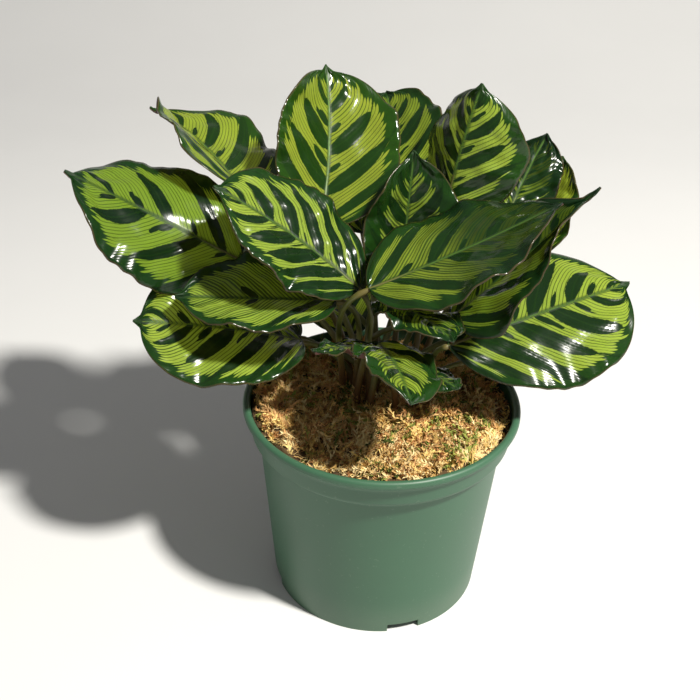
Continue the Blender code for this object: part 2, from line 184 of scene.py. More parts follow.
# Moss sprigs and strands. Pairs are the least and the most: lengths, radii and arches in
# millimetres, lifts and spreads as shares
WALL_CLEARANCE = 2.0 * MM
PLACE_CLEARANCE = 1.5 * MM
PATCH_SIZE = 13.0 * MM
PATCH_BLUR = 0.10
COMB_SIZE = 17.0 * MM
COMB_TURN = 9.0
COMB_LAYER = 0.05
HOLLOW_DEPTH = 0.1 * MM
HOLLOW_BARENESS = 0.88
TUFT_SIZE = 8.0 * MM
TUFT_CONTRAST = 1.3
TUFT_LAYER = 0.3
SHADE_SPREAD = 0.2
SPRIG_STEPS = 5
SPRIG_LEAVES = 26
SPRIG_LENGTHS = (9.0, 20.0)
SPRIG_LIFTS = (-0.15, 0.42)
SPRIG_TURN = 0.9
SPRIG_ARCH = 1.5
SPRIG_STEM_SHADE = 0.8
SPRIG_SCATTER = 0.25
SPRIG_RADIUS = 0.32 * MM
SPRIG_CLEARANCE = 0.3 * MM
LEAFLET_LENGTHS = (2.8, 5.2)
LEAFLET_SPREADS = (0.25, 0.75)
LEAFLET_WIDTH = 0.21
LEAFLET_MIDDLE = 0.45
LEAFLET_FOLD = 0.4
LEAFLET_RISE = 0.25
LEAFLET_SHORTENING = 0.35
STRAND_STEPS = 10
STRAND_LENGTHS = (8.0, 26.0)
STRAND_RADII = (0.16, 0.34)
STRAND_ARCHES = (0.6, 2.2)
STRAND_BEND = 2.6
STRAND_SCATTER = 0.8
STRAND_CLEARANCE = 0.5 * MM
STRAND_SEED = 15
FIBRE_SIDES = 3
FIBRE_TAPER = 0.75
FIBRE_UPRIGHT = Vector((0.3, 0.2, 0.93))
LEAFLET_UPRIGHT = Vector((0.1, 0.2, 0.97))

# Camera, floor and light
CAMERA_DISTANCE = 0.640
CAMERA_TARGET_HEIGHT = 0.072
CAMERA_ELEVATION = 38.23
CAMERA_YAW = -1.85
CAMERA_PITCH = 6.36
CAMERA_ROLL = 2.88
CAMERA_LENS = 54.12
CAMERA_SENSOR = 36.0
CAMERA_NEAREST = 0.05
FLOOR_REACH = 3.0
FLOOR_FLAT = 0.8
FLOOR_RISE = 1.2
LIGHT_TARGET = (0.0, 0.0, 0.17)
WORLD_STRENGTH = 0.19

# One lamp: its size is its diameter in metres, and its power is in watts.
Lamp = namedtuple("Lamp", "name place size power colour")

LAMPS = (
    Lamp("key", (0.92, -0.66, 1.80), 0.20, 78.0, (1.0, 0.97, 0.90)),
    Lamp("fill", (-0.9, -1.2, 1.0), 1.2, 0.4, (0.93, 0.97, 1.0)),
)

# One leaf. crown: ring radius in mm and clock angle in degrees of the place where the petiole
# stands. joint: where the blade starts, mm. heading and pitch: the midrib's direction there,
# degrees; it droops and sweeps by these angles towards the tip. length: of the blade, mm.
# width: as a share of the length. roll: the blade's turn about its midrib, with a twist added
# by the tip. fold: how far the halves are raised, degrees, with a furl added near the tip. cup:
# how far their edges curl up, or down where it is below 0. lean: below 1 the blade is widest
# nearer its joint, above 1 nearer its tip. point: how sharp the tip is. rise and approach: how
# far the petiole keeps its first and its last direction, as shares of its chord.
Leaf = namedtuple(
    "Leaf",
    "name crown joint heading pitch length width droop sweep roll twist fold furl cup lean point "
    "rise approach",
    defaults=(0.7, 20, 0, 0, 0, 15, 0, -0.15, 1.0, 0.1, 0.35, 0.28),
)

LEAVES = (
    Leaf("leaf_left_large", (20, 165), (-81, 10, 204), 183, 30, 103, width=0.75, droop=0, sweep=5,
         roll=-60, twist=60, fold=5, cup=-0.2, approach=0.15),
    Leaf("leaf_left_rear", (26, 145), (-83, 24, 240), 115, 10, 100, width=0.73, droop=0, sweep=30,
         roll=22, twist=-5, furl=20, cup=0.0, lean=0.8, point=0.8),
    Leaf("leaf_left_centre", (22, 230), (-15, -9, 200), 170, 40, 95, droop=5, sweep=30, roll=-25,
         twist=-5),
    Leaf("leaf_back_tall", (14, 160), (-38, 22, 220), 80, 45, 94, width=0.82, droop=-10, sweep=25,
         roll=20, twist=5, fold=20, cup=0.15, point=0),
    Leaf("leaf_back_middle", (12, 60), (6, 67, 221), 100, 45, 80, width=0.73, droop=30, roll=5,
         twist=-10, fold=20, cup=0.15, point=0),
    Leaf("leaf_back_right", (19, 20), (30, 39, 223), 40, 78, 74, width=0.84, droop=10, sweep=5,
         roll=20, twist=-10, fold=-10, cup=-0.5),
    Leaf("leaf_centre_small", (6, 110), (7, 29, 180), 50, 85, 82, droop=0, sweep=10, roll=45,
         twist=10, fold=20, cup=0.1, rise=0.5),
    Leaf("leaf_right_centre", (24, 195), (-9, -26, 209), 16, 18, 108, droop=-10, sweep=-5,
         roll=20, twist=-30, fold=10, cup=-0.1),
    Leaf("leaf_right_folded", (20, 135), (36, -5, 182), 14, 40, 104, width=0.72, droop=-10,
         sweep=-5, twist=20, fold=0, furl=75, cup=-0.35, lean=0.85, point=1.2, rise=0.5,
         approach=0.15),
    Leaf("leaf_right_back", (26, 30), (67, 62, 210), 60, 45, 60, droop=5, sweep=-5, roll=20,
         twist=-20, fold=5, cup=-0.2),
    Leaf("leaf_right_rear", (25, 50), (88, 63, 189), 70, 60, 60, droop=5, sweep=-5, roll=-10,
         twist=-5, fold=20, cup=0.0, rise=0.5),
    Leaf("leaf_right_low", (27, 0), (35, -11, 168), 22, 12, 115, width=0.8, droop=5, sweep=5,
         roll=28, twist=-10, fold=0, lean=1.2, point=0, rise=0.5, approach=0.15),
    Leaf("leaf_left_folded", (18, 210), (-27, -11, 193), 194, 6, 85, width=0.66, droop=5,
         sweep=-10, roll=-15, twist=-5, cup=-0.05),
    Leaf("leaf_left_low", (11, 200), (-47, 8, 155), 216, 29, 99, width=0.77, droop=25, sweep=-30,
         roll=-15, twist=-30, fold=10, cup=-0.1, lean=1.15, point=0, rise=0.5),
    Leaf("leaf_front_drooping", (24, 290), (-3, -27, 177), -70, 15, 66, sweep=-10, roll=-5,
         twist=-25, approach=0.15),
    Leaf("leaf_front_right_small", (15, 240), (-2, -7, 191), -47, 17, 63, sweep=-15, roll=-20,
         twist=15, fold=10, cup=-0.2),
    Leaf("leaf_front_right_low", (8, 240), (14, -2, 150), -40, 5, 38, droop=5, sweep=-10, roll=-5,
         fold=5, cup=-0.3),
    Leaf("leaf_front_left_small", (24, 255), (-8, -13, 167), 219, 18, 40, width=0.64, droop=5,
         sweep=10, twist=20, fold=10, cup=-0.25),
    Leaf("leaf_hidden_right_rear", (12, 300), (31, 57, 165), 55, 10, 95, droop=25, sweep=-5,
         twist=-10),
    Leaf("leaf_hidden_rear_right", (22, 95), (18, 58, 174), 75, 10, 95, droop=25, sweep=5),
    Leaf("leaf_hidden_rear", (20, 115), (-19, 50, 136), 115, 25, 100, droop=30),
    Leaf("leaf_hidden_rear_left", (17, 80), (-42, 49, 171), 140, 5, 100, twist=5),
    Leaf("leaf_hidden_left_low", (17, 185), (-49, 19, 151), 165, 5, 80, sweep=5, cup=-0.05),
    Leaf("leaf_hidden_right_low", (24, 325), (46, 8, 146), 10, 5, 78, roll=-5),
    Leaf("leaf_hidden_right", (12, 15), (55, 19, 161), 30, -8, 75, droop=15, sweep=-5, twist=5,
         cup=-0.1),
    Leaf("leaf_hidden_rear_tall", (13, 110), (-15, 43, 208), 115, 45, 80, droop=25, sweep=5,
         roll=10, twist=-5),
)

# How one leaf is marked, and the light and shade painted on it. pitch: the step between large
# blotches along the midrib, first: where the first one stands, offset: how far the other side's
# are shifted, all as shares of the blade's length. warmth: 0 for a cool green leaf, 1 for a
# yellow one. pale: 0 for deep colours, 1 for washed out ones, paler partly as a painted sunlit
# sheen. deep: painted shade, 1 for a leaf painted dark beyond its joint as if it lay in shadow.
# stripes: 1 where wide dark stripes follow the veins. border: times the usual width of the green
# border. blotch: times the usual size of the large blotches.
Look = namedtuple(
    "Look",
    "pitch first offset warmth pale deep stripes border blotch",
    defaults=(0.24, 0.15, 0.12, 0.4, 0.3, 0.3, 0.3, 1.0, 1.0),
)

LOOKS = {
    "leaf_left_large": Look(0.32, 0.10, 0.14, 0.15, 0.2, 0.2, 0.1, border=1.35),
    "leaf_left_rear": Look(0.26, 0.20, 0.08, 0.85, 0.5, 0.0, 0.1),
    "leaf_left_centre": Look(0.17, 0.12, 0.02, 0.35, 1.0, 0.0, 0.1, blotch=1.1),
    "leaf_back_tall": Look(0.25, 0.22, 0.04, 1.0, 0.4, 0.0, 0.1, border=1.25, blotch=1.25),
    "leaf_back_middle": Look(0.22, 0.20, 0.06, 0.6, 0.2, 0.4, 0.2),
    "leaf_back_right": Look(0.22, 0.16, 0.05, 0.6, 0.9, 0.0, 0.1, blotch=1.15),
    "leaf_centre_small": Look(0.17, 0.14, 0.03, 0.45, 0.6, 0.0, 0.7, border=2.4),
    "leaf_right_centre": Look(0.30, 0.12, 0.20, 0.6, 0.2, 1.0, 0.7, border=1.5),
    "leaf_right_folded": Look(0.26, 0.20, 0.10, 0.3, 0.0, 0.8, 0.5, border=1.5),
    "leaf_right_back": Look(0.22, 0.20, 0.06, 0.5, 0.2, 1.0, 0.6),
    "leaf_right_rear": Look(0.70, 0.95, 0.00, 1.0, 0.5, 0.0, 0.0, border=0.5),
    "leaf_right_low": Look(0.21, 0.14, 0.10, 0.45, 0.9, 0.0, 0.15, blotch=1.15),
    "leaf_left_folded": Look(0.80, 0.90, 0.00, 0.2, 0.8, 0.0, 0.7),
    "leaf_left_low": Look(0.22, 0.15, 0.10, 0.35, 1.0, 0.0, 0.3),
    "leaf_front_drooping": Look(0.45, 0.12, 0.03, 0.4, 0.6, 0.0, 0.9, border=1.3),
    "leaf_front_right_small": Look(0.26, 0.15, 0.05, 0.3, 0.2, 0.5, 0.7),
}

# One colour of moss. shift: moves the patches it grows in. threshold: how strong a patch must
# be for it. seed: of its random draws. amount: times the usual number of sprigs.
MossKind = namedtuple("MossKind", "name shift threshold seed amount dark middle light")


def length_setting(name, description, millimetres):
    return bpy.props.FloatProperty(
        name=name, description=description, default=millimetres * MM, unit="LENGTH"
    )


def count_setting(name, description, count, least):
    return bpy.props.IntProperty(name=name, description=description, default=count, min=least)


def colour_setting(name, description, colour):
    return bpy.props.FloatVectorProperty(
        name=name, description=description, default=colour, subtype="COLOR", size=3
    )


class PotSizes(bpy.types.PropertyGroup):
    lip_radius: length_setting("Lip radius", "Outer radius of the rolled lip", 80.0)
    lip_width: length_setting("Lip width", "Width of the half round lip from above", 4.4)
    lip_height: length_setting("Lip height", "How far the lip hangs down outside", 3.4)
    flare: length_setting("Flare", "Height of the slant between lip and band", 3.6)
    step_slant: length_setting("Step slant", "Height of the slanted step under the band", 2.2)
    height: length_setting("Height", "Height of the pot from foot to lip", 125.0)
    band_radius: length_setting("Band radius", "Outer radius just under the lip", 76.5)
    band_foot_radius: length_setting("Band foot radius", "Radius of the band's lower edge", 75.5)
    band_bottom: length_setting("Band bottom", "Height of the step under the band", 106.5)
    body_top_radius: length_setting("Body top radius", "Outer radius under the band", 71.3)
    base_radius: length_setting("Base radius", "Outer radius of the pot at its foot", 62.5)
    wall: length_setting("Wall", "Thickness of the moulded wall", 1.6)
    notch_width: length_setting("Notch width", "Width of each drain notch in the foot", 19.0)
    notch_height: length_setting("Notch height", "Height of each drain notch in the foot", 5.5)
    notch_angle: bpy.props.FloatProperty(
        name="Notch angle",
        description="Clock angle of the front drain notch",
        default=math.radians(-72.5),
        unit="ROTATION",
    )
    turn_steps: count_setting("Turn steps", "Number of sides of the turned pot", 192, 24)


class LeafSizes(bpy.types.PropertyGroup):
    rows: count_setting("Rows", "Mesh rows from a leaf's joint to its tip", 84, 12)
    columns: count_setting("Columns", "Mesh columns across a leaf", 44, 6)
    thickness: length_setting("Thickness", "Thickness of the leaf blade", 0.7)
    wave_height: length_setting("Wave height", "How far the leaf's edge waves up and down", 2.8)
    quilt_height: length_setting("Quilt height", "How far the blade swells between veins", 0.26)
    quilt_pitch: length_setting("Quilt pitch", "Step of the swellings along the midrib", 9.0)
    bulge_height: length_setting("Bulge height", "Height of the blade's uneven bulges", 1.8)
    ripple_height: length_setting("Ripple height", "Height of the edge's small ripples", 3.2)
    vein_pitch: length_setting("Vein pitch", "Step of the thin veins along the midrib", 2.6)
    margin_width: length_setting("Margin width", "Least width of the green border", 3.6)
    blotch_width: bpy.props.FloatProperty(
        name="Blotch width",
        description="Half the width of a large blotch, as a share of the blade's length",
        default=0.06,
    )


class MossSizes(bpy.types.PropertyGroup):
    edge_height: length_setting("Edge height", "Height of the moss at the pot's wall", 118.5)
    dome: length_setting("Dome", "How far the moss rises towards the middle", 2.5)
    lump: length_setting("Lump", "Height of the lumps in the moss", 5.0)
    lump_size: length_setting("Lump size", "Width of the lumps in the moss", 16.0)
    sprigs: count_setting("Sprigs", "Number of sprigs in each colour of moss", 950, 10)
    strands: count_setting("Strands", "Number of long dry moss strands", 700, 10)


class FinishColours(bpy.types.PropertyGroup):
    pot_green: colour_setting("Pot green", "Moulded green of the pot", (0.042, 0.118, 0.064))
    band_cool: colour_setting("Band cool", "Light bands of a cool leaf", (0.115, 0.25, 0.022))
    band_warm: colour_setting("Band warm", "Light bands of a warm leaf", (0.40, 0.41, 0.035))
    # Partly painted light: paler, bluer bands that stand in for a sunlit sheen on some leaves.
    band_pale: colour_setting("Band pale", "Washed out light bands", (0.41, 0.53, 0.075))
    # Painted shade: the colour of the light bands where a leaf is painted as if it lay in shadow.
    band_painted_shade: colour_setting("Band deep", "Light bands of a dark leaf", (0.024, 0.038, 0.004))
    vein: colour_setting("Vein", "Dark green of the thin veins", (0.010, 0.036, 0.007))
    leaf_dark: colour_setting("Leaf dark", "Bluish green of blotches", (0.0028, 0.011, 0.0045))
    margin_cool: colour_setting("Margin cool", "Border of a cool leaf", (0.006, 0.029, 0.006))
    margin_warm: colour_setting("Margin warm", "Border of a warm leaf", (0.015, 0.052, 0.0035))
    rib_green: colour_setting("Rib green", "Green of the midrib", (0.13, 0.25, 0.045))
    rim_brown: colour_setting("Rim brown", "Line along the leaf's edge", (0.075, 0.045, 0.022))
    leaf_back: colour_setting("Leaf back", "Wine red of the underside", (0.125, 0.022, 0.035))
    # Partly painted shade: the petioles' own green, kept darker to stand in for the shade among the
    # stems.
    stalk_green: colour_setting("Stalk green", "Green of the petioles", (0.115, 0.125, 0.022))
    moss_gold: colour_setting("Moss gold", "Golden tan of the dried moss", (0.66, 0.41, 0.12))


def math_node(operation, reflected=False):
    """A method that adds one Math node for its values."""

    def work_out(self, *others):
        values = (*others, self) if reflected else (self, *others)
        return self.nodes.add("ShaderNodeMath", {"operation": operation}, values)

    return work_out


class Socket:
    """One output of a material's nodes, which takes part in written-out sums."""

    def __init__(self, nodes, socket):
        self.nodes = nodes
        self.socket = socket

    __add__ = math_node("ADD")
    __radd__ = math_node("ADD", reflected=True)
    __sub__ = math_node("SUBTRACT")
    __rsub__ = math_node("SUBTRACT", reflected=True)
    __mul__ = math_node("MULTIPLY")
    __rmul__ = math_node("MULTIPLY", reflected=True)
    __truediv__ = math_node("DIVIDE")
    __pow__ = math_node("POWER")
    __abs__ = math_node("ABSOLUTE")
    floor = math_node("FLOOR")
    fraction = math_node("FRACT")
    highest = math_node("MAXIMUM")
    lowest = math_node("MINIMUM")
    wave = math_node("SINE")

    def above(self, edge, softness):
        """0 well below the edge, 1 well above it, with a soft step between."""
        return self.nodes.ramp(self, edge - softness, edge + softness)


class Nodes:
    """The node tree of one material, filled by expressions and by one method."""

    def __init__(self, name):
        self.material = bpy.data.materials.new(name)
        self.material.use_nodes = True
        self.tree = self.material.node_tree
        self.tree.nodes.clear()
        self.output = self.tree.nodes.new("ShaderNodeOutputMaterial")

    def add(self, kind, settings=None, inputs=(), output=0):
        """Adds a node: its settings first, then the values or links of its sockets."""
        node = self.tree.nodes.new(kind)
        for key, value in (settings or {}).items():
            setattr(node, key, value)
        pairs = inputs.items() if isinstance(inputs, dict) else enumerate(inputs)
        for key, value in pairs:
            if isinstance(value, Socket):
                self.tree.links.new(value.socket, node.inputs[key])
            else:
                node.inputs[key].default_value = value
        return Socket(self, node.outputs[output])

    def attribute(self, name):
        return self.add("ShaderNodeAttribute", {"attribute_name": name}, output="Fac")

    def position(self):
        return self.add("ShaderNodeNewGeometry", output="Position")

    def vector(self, x, y, z):
        return self.add("ShaderNodeCombineXYZ", inputs=(x, y, z))

    def ramp(self, value, low, high, bottom=0.0, top=1.0):
        """Maps low to bottom and high to top, smoothly and clamped."""
        settings = {"interpolation_type": "SMOOTHSTEP"}
        return self.add("ShaderNodeMapRange", settings, (value, low, high, bottom, top))

    def noise(self, scale, detail=3.0, roughness=0.5, place=None):
        """Soft noise from 0 to 1, with this many lumps to a metre."""
        place = place or self.position()
        values = {"Vector": place, "Scale": scale, "Detail": detail, "Roughness": roughness}
        return self.add("ShaderNodeTexNoise", inputs=values)

    def scatter(self, place):
        """One random value for each whole-numbered place."""
        return self.add("ShaderNodeTexWhiteNoise", {"noise_dimensions": "3D"}, (place,))

    def blend(self, factor, first, second):
        """Blends two colours, which have sockets 6 and 7 of a Mix node, and its output 2."""
        values = {0: factor, 6: full_colour(first), 7: full_colour(second)}
        return self.add("ShaderNodeMix", {"data_type": "RGBA"}, values, output=2)

    def paint(self, ground, *coats):
        """Lays coats over a ground colour, each a mask and a colour."""
        for mask, colour in coats:
            ground = self.blend(mask, ground, colour)
        return ground

    def shader(self, colour, roughness, relief=None, strength=0.0, depth=0.0, more=None):
        """The main shader with its finish, its relief as a bump, and more of its sockets."""
        values = {"Base Color": colour, "Roughness": roughness} | (more or {})
        if relief:
            bump = {"Height": relief, "Strength": strength, "Distance": depth}
            values["Normal"] = self.add("ShaderNodeBump", inputs=bump)
        return self.add("ShaderNodeBsdfPrincipled", inputs=values)

    def see_through(self, shader, amount, colour):
        """Lets light pass a surface, so that a lit blade glows on its far side."""
        glow = self.add("ShaderNodeBsdfTranslucent", inputs={"Color": full_colour(colour)})
        return self.add("ShaderNodeMixShader", inputs=(amount, shader, glow))

    def finish(self, shader):
        self.tree.links.new(shader.socket, self.output.inputs["Surface"])
        return self.material


def full_colour(colour):
    return colour if isinstance(colour, Socket) else (*colour[:3], 1.0)


def times(colour, factor):
    """A colour made darker or lighter."""
    return [part * factor for part in colour]


def turned(first, second, angle):
    """The direction at an angle from the first direction towards the second."""
    return first * math.cos(angle) + second * math.sin(angle)


def polar(radius, angle):
    return radius * math.cos(angle), radius * math.sin(angle)


def link_piece(name, mesh):
    obj = bpy.data.objects.new(name, mesh)
    bpy.context.scene.collection.objects.link(obj)
    return obj


def mesh_of(builder, name):
    """The finished mesh of a bmesh, which is given up."""
    mesh = bpy.data.meshes.new(name)
    builder.to_mesh(mesh)
    builder.free()
    return mesh


def apply_modifiers(obj):
    depsgraph = bpy.context.evaluated_depsgraph_get()
    mesh = bpy.data.meshes.new_from_object(obj.evaluated_get(depsgraph))
    obj.modifiers.clear()
    obj.data = mesh


def leaf_place(nodes):
    """Where a point lies on its leaf, and where along the midrib its own side vein starts."""
    names = ("share", "across", "seed", "half_width", "span", "pitch", "stripes", "border")
    marks = SimpleNamespace(**{name: nodes.attribute(name) for name in names})
    marks.reach = abs(marks.across)
    marks.side = marks.across.above(0.0, 0.001)
    marks.from_midrib = marks.reach * marks.half_width
    marks.from_edge = (1.0 - marks.reach) * marks.half_width
    along = marks.share * 3.0 + marks.seed * 9.0
    place = nodes.vector(along, marks.across * 2.0, marks.seed * 5.0)
    marks.wobble = nodes.noise(2.4, 2.0, place=place) - 0.5
    marks.ragged = (nodes.noise(12.0, 2.0, place=place) - 0.5) * WOBBLE
    curve = marks.reach * VEIN_SLANT + marks.reach**VEIN_POWER * VEIN_CURVE
    marks.vein_foot = marks.share - curve + marks.wobble * WOBBLE
    return marks


def chance(nodes, marks, cell, side_step, seed_step):
    """A random value for each cell, different on the two sides and on each leaf."""
    place = nodes.vector(cell, marks.side * side_step, (marks.seed * seed_step).floor())
    return nodes.scatter(place)


def belly(marks, reach, centre, power):
    """How full a blotch is along its length: 1 in its middle and 0 at its ends."""
    along = (marks.reach - reach * centre) / reach
    return (1.0 - along * along).highest(0.0) ** power


def mark_large(nodes, marks, sizes):
    """Large dark blotches that stand on the midrib, smaller towards the tip."""
    foot = (marks.cells.floor() - CELLS_BEFORE) * marks.pitch + marks.first
    to_foot = abs(marks.vein_foot - foot)
    shrink = 1.0 - nodes.ramp(foot, *LARGE_SHRINKING)
    reach = LARGE_REACH - foot * LARGE_REACH_LOSS + (marks.chosen - 0.5) * LARGE_REACH_SPREAD
    usual = sizes.blotch_width * (marks.second * 0.3 + 0.85)
    width = (marks.pitch * LARGE_WIDTH_LIMIT).lowest(usual)
    swell = belly(marks, reach, LARGE_CENTRE, LARGE_ROUNDNESS) * width * shrink
    tail = nodes.ramp(marks.reach, 0.3, 1.0, 0.0, VEIN_TAIL)
    swell = (swell * nodes.attribute("blotch")).highest(tail)
    marks.large = (swell - to_foot + marks.ragged).above(0.0, LARGE_SOFTNESS)
    marks.heart = (1.0 - to_foot.above(HEART_WIDTH, LARGE_SOFTNESS)) * marks.large


def mark_small(marks):
    """Small dark spots by the midrib, half-way between the large ones where those are far apart."""
    cell = (marks.cells + 0.5).floor() - (CELLS_BEFORE + 0.5)
    foot = cell * marks.pitch + marks.first
    to_foot = abs(marks.vein_foot - foot - (marks.chosen - 0.5) * SMALL_SCATTER)
    reach = marks.second * SMALL_REACH_SPREAD + SMALL_REACH
    room = (marks.pitch - SMALL_LEAST_PITCH).highest(0.0).lowest(SMALL_MOST_ROOM)
    width = room * (marks.second * 0.15 + 0.24)
    swell = belly(marks, reach, SMALL_CENTRE, SMALL_ROUNDNESS) * width
    return (swell - to_foot + marks.ragged * 0.6).above(0.0, SMALL_SOFTNESS)


def mark_blotches(nodes, marks, sizes):
    """The blotches, which step along the midrib, a little shifted on its other side."""
    marks.first = nodes.attribute("first") + marks.side * nodes.attribute("offset")
    marks.cells = (marks.vein_foot - marks.first) / marks.pitch + (CELLS_BEFORE + 0.5)
    cell = marks.cells.floor()
    marks.chosen = chance(nodes, marks, cell, 7.0, 31.0)
    marks.second = chance(nodes, marks, cell + 40.0, 5.0, 17.0)
    mark_large(nodes, marks, sizes)
    marks.dark = marks.large.highest(mark_small(marks))


def mark_veins(nodes, marks, sizes):
    """Thin dark veins, wide on a striped leaf, with fine ticks across the bands between them."""
    strands = marks.vein_foot * marks.span / sizes.vein_pitch
    marks.strand = strands.fraction()
    marks.to_vein = abs(marks.strand - 0.5) * 2.0
    marks.vein_chance = chance(nodes, marks, strands.floor(), 3.0, 13.0)
    stripes = marks.stripes * (marks.vein_chance * 0.9 + 0.1)
    line = (marks.to_vein - 0.82 + stripes * 0.75).above(0.0, 0.10)
    marks.vein = line * (marks.vein_chance * 0.3 + 0.7)
    ticks = (marks.from_midrib / TICK_STEP + marks.vein_chance * 3.0).fraction()
    marks.tick = abs(ticks - 0.5).above(0.42, 0.05)


def mark_edges(nodes, marks, sizes):
    """The green border, which the bands brush into, the edge's thin line and the midrib."""
    to_border = marks.from_edge.lowest((1.0 - marks.share) * marks.span * 0.75)
    brush = marks.to_vein * marks.to_vein * BRUSH_CURVE + marks.vein_chance * BRUSH_SCATTER
    least = marks.border * sizes.margin_width
    marks.margin = 1.0 - to_border.above(brush + least, BORDER_SOFTNESS)
    before_tip = 1.0 - nodes.ramp(marks.share, 0.90, 0.96)
    marks.rim = (1.0 - marks.from_edge.above(LINE_WIDTH, LINE_SOFTNESS)) * before_tip
    marks.rib = (1.0 - marks.from_midrib.above(LINE_WIDTH, LINE_SOFTNESS)) * before_tip
    marks.rib_side = 1.0 - marks.from_midrib.above(RIB_SIDE_WIDTH, 2.0 * LINE_SOFTNESS)


def leaf_pattern(nodes, sizes):
    """The markings of a leaf in its own coordinates, as masks from 0 to 1."""
    marks = leaf_place(nodes)
    mark_blotches(nodes, marks, sizes)
    mark_veins(nodes, marks, sizes)
    mark_edges(nodes, marks, sizes)
    return marks


def leaf_face_material(colours, sizes):
    """The glossy upper side: its light bands let most light through, its dark marks least."""
    nodes = Nodes("leaf_face")
    marks = leaf_pattern(nodes, sizes)
    warmth = nodes.attribute("warmth")
    tint = nodes.noise(60.0)
    cells = nodes.noise(1500.0, 1.0)
    # Painted shade: a leaf's deep value, rising from its joint towards its tip, darkens its bands
    # and border and lets less light through, as if the leaf lay in shadow.
    painted_shade_amount = nodes.attribute("deep") * nodes.ramp(marks.share, 0.2, 0.6, 0.1, 1.0)
    band = nodes.paint(
        nodes.blend(warmth, colours.band_cool, colours.band_warm),
        # Pale bands: partly the leaf's own paler colour, partly a painted sunlit sheen.
        (nodes.attribute("pale"), colours.band_pale),
        (tint * 0.5, colours.band_cool),
        (painted_shade_amount, colours.band_painted_shade),
        (marks.tick * 0.22 + cells * 0.15, colours.vein),
    )
    # The border, darkened too where shade is painted on the leaf.
    green = nodes.blend(warmth, colours.margin_cool, colours.margin_warm)
    green = nodes.blend(tint * 0.4 + painted_shade_amount * 0.6, green, colours.leaf_dark)
    deep = nodes.blend(warmth * 0.45 + marks.heart * 0.2, colours.leaf_dark, colours.margin_warm)
    colour = nodes.paint(
        band,
        (marks.rib_side * 0.7, green),
        (marks.vein * 0.95, colours.vein),
        (marks.margin, green),
        (marks.dark, deep),
        (marks.rib * 0.85, nodes.blend(warmth * 0.8, colours.margin_warm, colours.rib_green)),
        (marks.rim * 0.6, colours.rim_brown),
    )
    relief = (marks.strand * math.tau).wave() * 0.14 + cells * 0.03 + marks.wobble * 0.8
    roughness = 0.14 + tint * 0.12 + marks.rib_side * 0.3
    shader = nodes.shader(colour, roughness, relief, 0.22, 0.4 * MM, LEAF_FLESH)
    dark = marks.dark.highest(marks.margin).highest(marks.vein * 0.7)
    passing = (0.42 - dark * 0.41) * (1.0 - painted_shade_amount * 0.85)
    return nodes.finish(nodes.see_through(shader, passing, FACE_GLOW))


def leaf_back_material(colours, sizes):
    """The dull underside, with the same markings in wine red on a paler ground."""
    nodes = Nodes("leaf_back")
    marks = leaf_pattern(nodes, sizes)
    colour = nodes.paint(
        nodes.blend(marks.wobble + 0.5, (0.20, 0.13, 0.09), (0.16, 0.15, 0.06)),
        (marks.margin, colours.leaf_back),
        (marks.dark, times(colours.leaf_back, 0.6)),
        (marks.vein * 0.6, colours.leaf_back),
        (marks.rib, (0.25, 0.22, 0.08)),
    )
    relief = (marks.strand * math.tau).wave() * -0.5
    shader = nodes.shader(colour, 0.55, relief, 0.4, 0.5 * MM)
    return nodes.finish(nodes.see_through(shader, 0.5, BACK_GLOW))


def stalk_material(colours):
    """Streaked petioles, reddish at the foot and brownish at the swollen joint."""
    nodes = Nodes("leaf_stalk")
    rise = nodes.attribute("rise")
    streak = nodes.noise(220.0)
    swelling = nodes.ramp(rise, 0.68, 0.76) * (1.0 - nodes.ramp(rise, 0.80, 0.84))
    # The stalk green is kept dark as painted shade among the stems.
    colour = nodes.paint(
        nodes.blend(streak, colours.stalk_green, times(colours.stalk_green, 0.6)),
        ((1.0 - nodes.ramp(rise, 0.0, 0.35)) * 0.8, (0.16, 0.06, 0.025)),
        (swelling * 0.75, (0.12, 0.09, 0.025)),
    )
    return nodes.finish(nodes.shader(colour, 0.42 + streak * 0.1, streak, 0.25, 0.4 * MM))


def crown_place(leaf):
    """Where a petiole stands: a ring of the crown and a clock angle on it."""
    ring, angle = leaf.crown
    x, y = polar(ring * MM, math.radians(angle))
    return CROWN_CENTRE.x + x, CROWN_CENTRE.y + y


def midrib_frames(leaf):
    """Points of the midrib with its direction, its side and its up direction."""
    frames = []
    point = Vector(leaf.joint) * MM
    step = leaf.length * MM / MIDRIB_STEPS
    previous = None
    for index in range(MIDRIB_STEPS + 1):
        share = index / MIDRIB_STEPS
        heading = math.radians(leaf.heading + leaf.sweep * share)
        pitch = math.radians(leaf.pitch - leaf.droop * share)
        roll = math.radians(leaf.roll + leaf.twist * share)
        forward = Vector((*polar(math.cos(pitch), heading), math.sin(pitch)))
        level_side = Vector((-math.sin(heading), math.cos(heading), 0.0))
        level_up = forward.cross(level_side)
        side = turned(level_side, level_up, roll)
        up = turned(level_up, -level_side, roll)
        if previous is not None:
            point = point + (previous + forward) * 0.5 * step
        previous = forward
        frames.append((point.copy(), forward, side, up))
    return frames


def frame_at(frames, share):
    """The midrib point, side and up direction at a share of its length."""
    place = share * MIDRIB_STEPS
    index = min(int(place), MIDRIB_STEPS - 1)
    rest = place - index
    low = frames[index]
    high = frames[index + 1]
    return tuple(low[item].lerp(high[item], rest) for item in (0, 2, 3))


def half_width(leaf, share):
    """Half the blade's width at a share of its length: a rounded oval with a short cusp."""
    along = min(share / CUSP_START, 1.0)
    reach = 2.0 * along**leaf.lean - 1.0
    roundness = OUTLINE_ROUNDNESS + leaf.point * along**TIP_START
    oval = leaf.width * leaf.length * MM / 2.0 * max(0.0, 1.0 - reach * reach) ** roundness
    to_end = max(0.0, (1.0 - share) / (1.0 - CUSP_START))
    least = TIP_POINT + (TIP_HALF_WIDTH - TIP_POINT) * min(1.0, to_end)
    if share > CUSP_REACH:
        spread = CUSP_SPREAD + ROUND_TIP_SPREAD * max(0.0, 1.0 - 2.0 * leaf.point)
        least += spread * (1.0 - share)
    return max(least, oval)


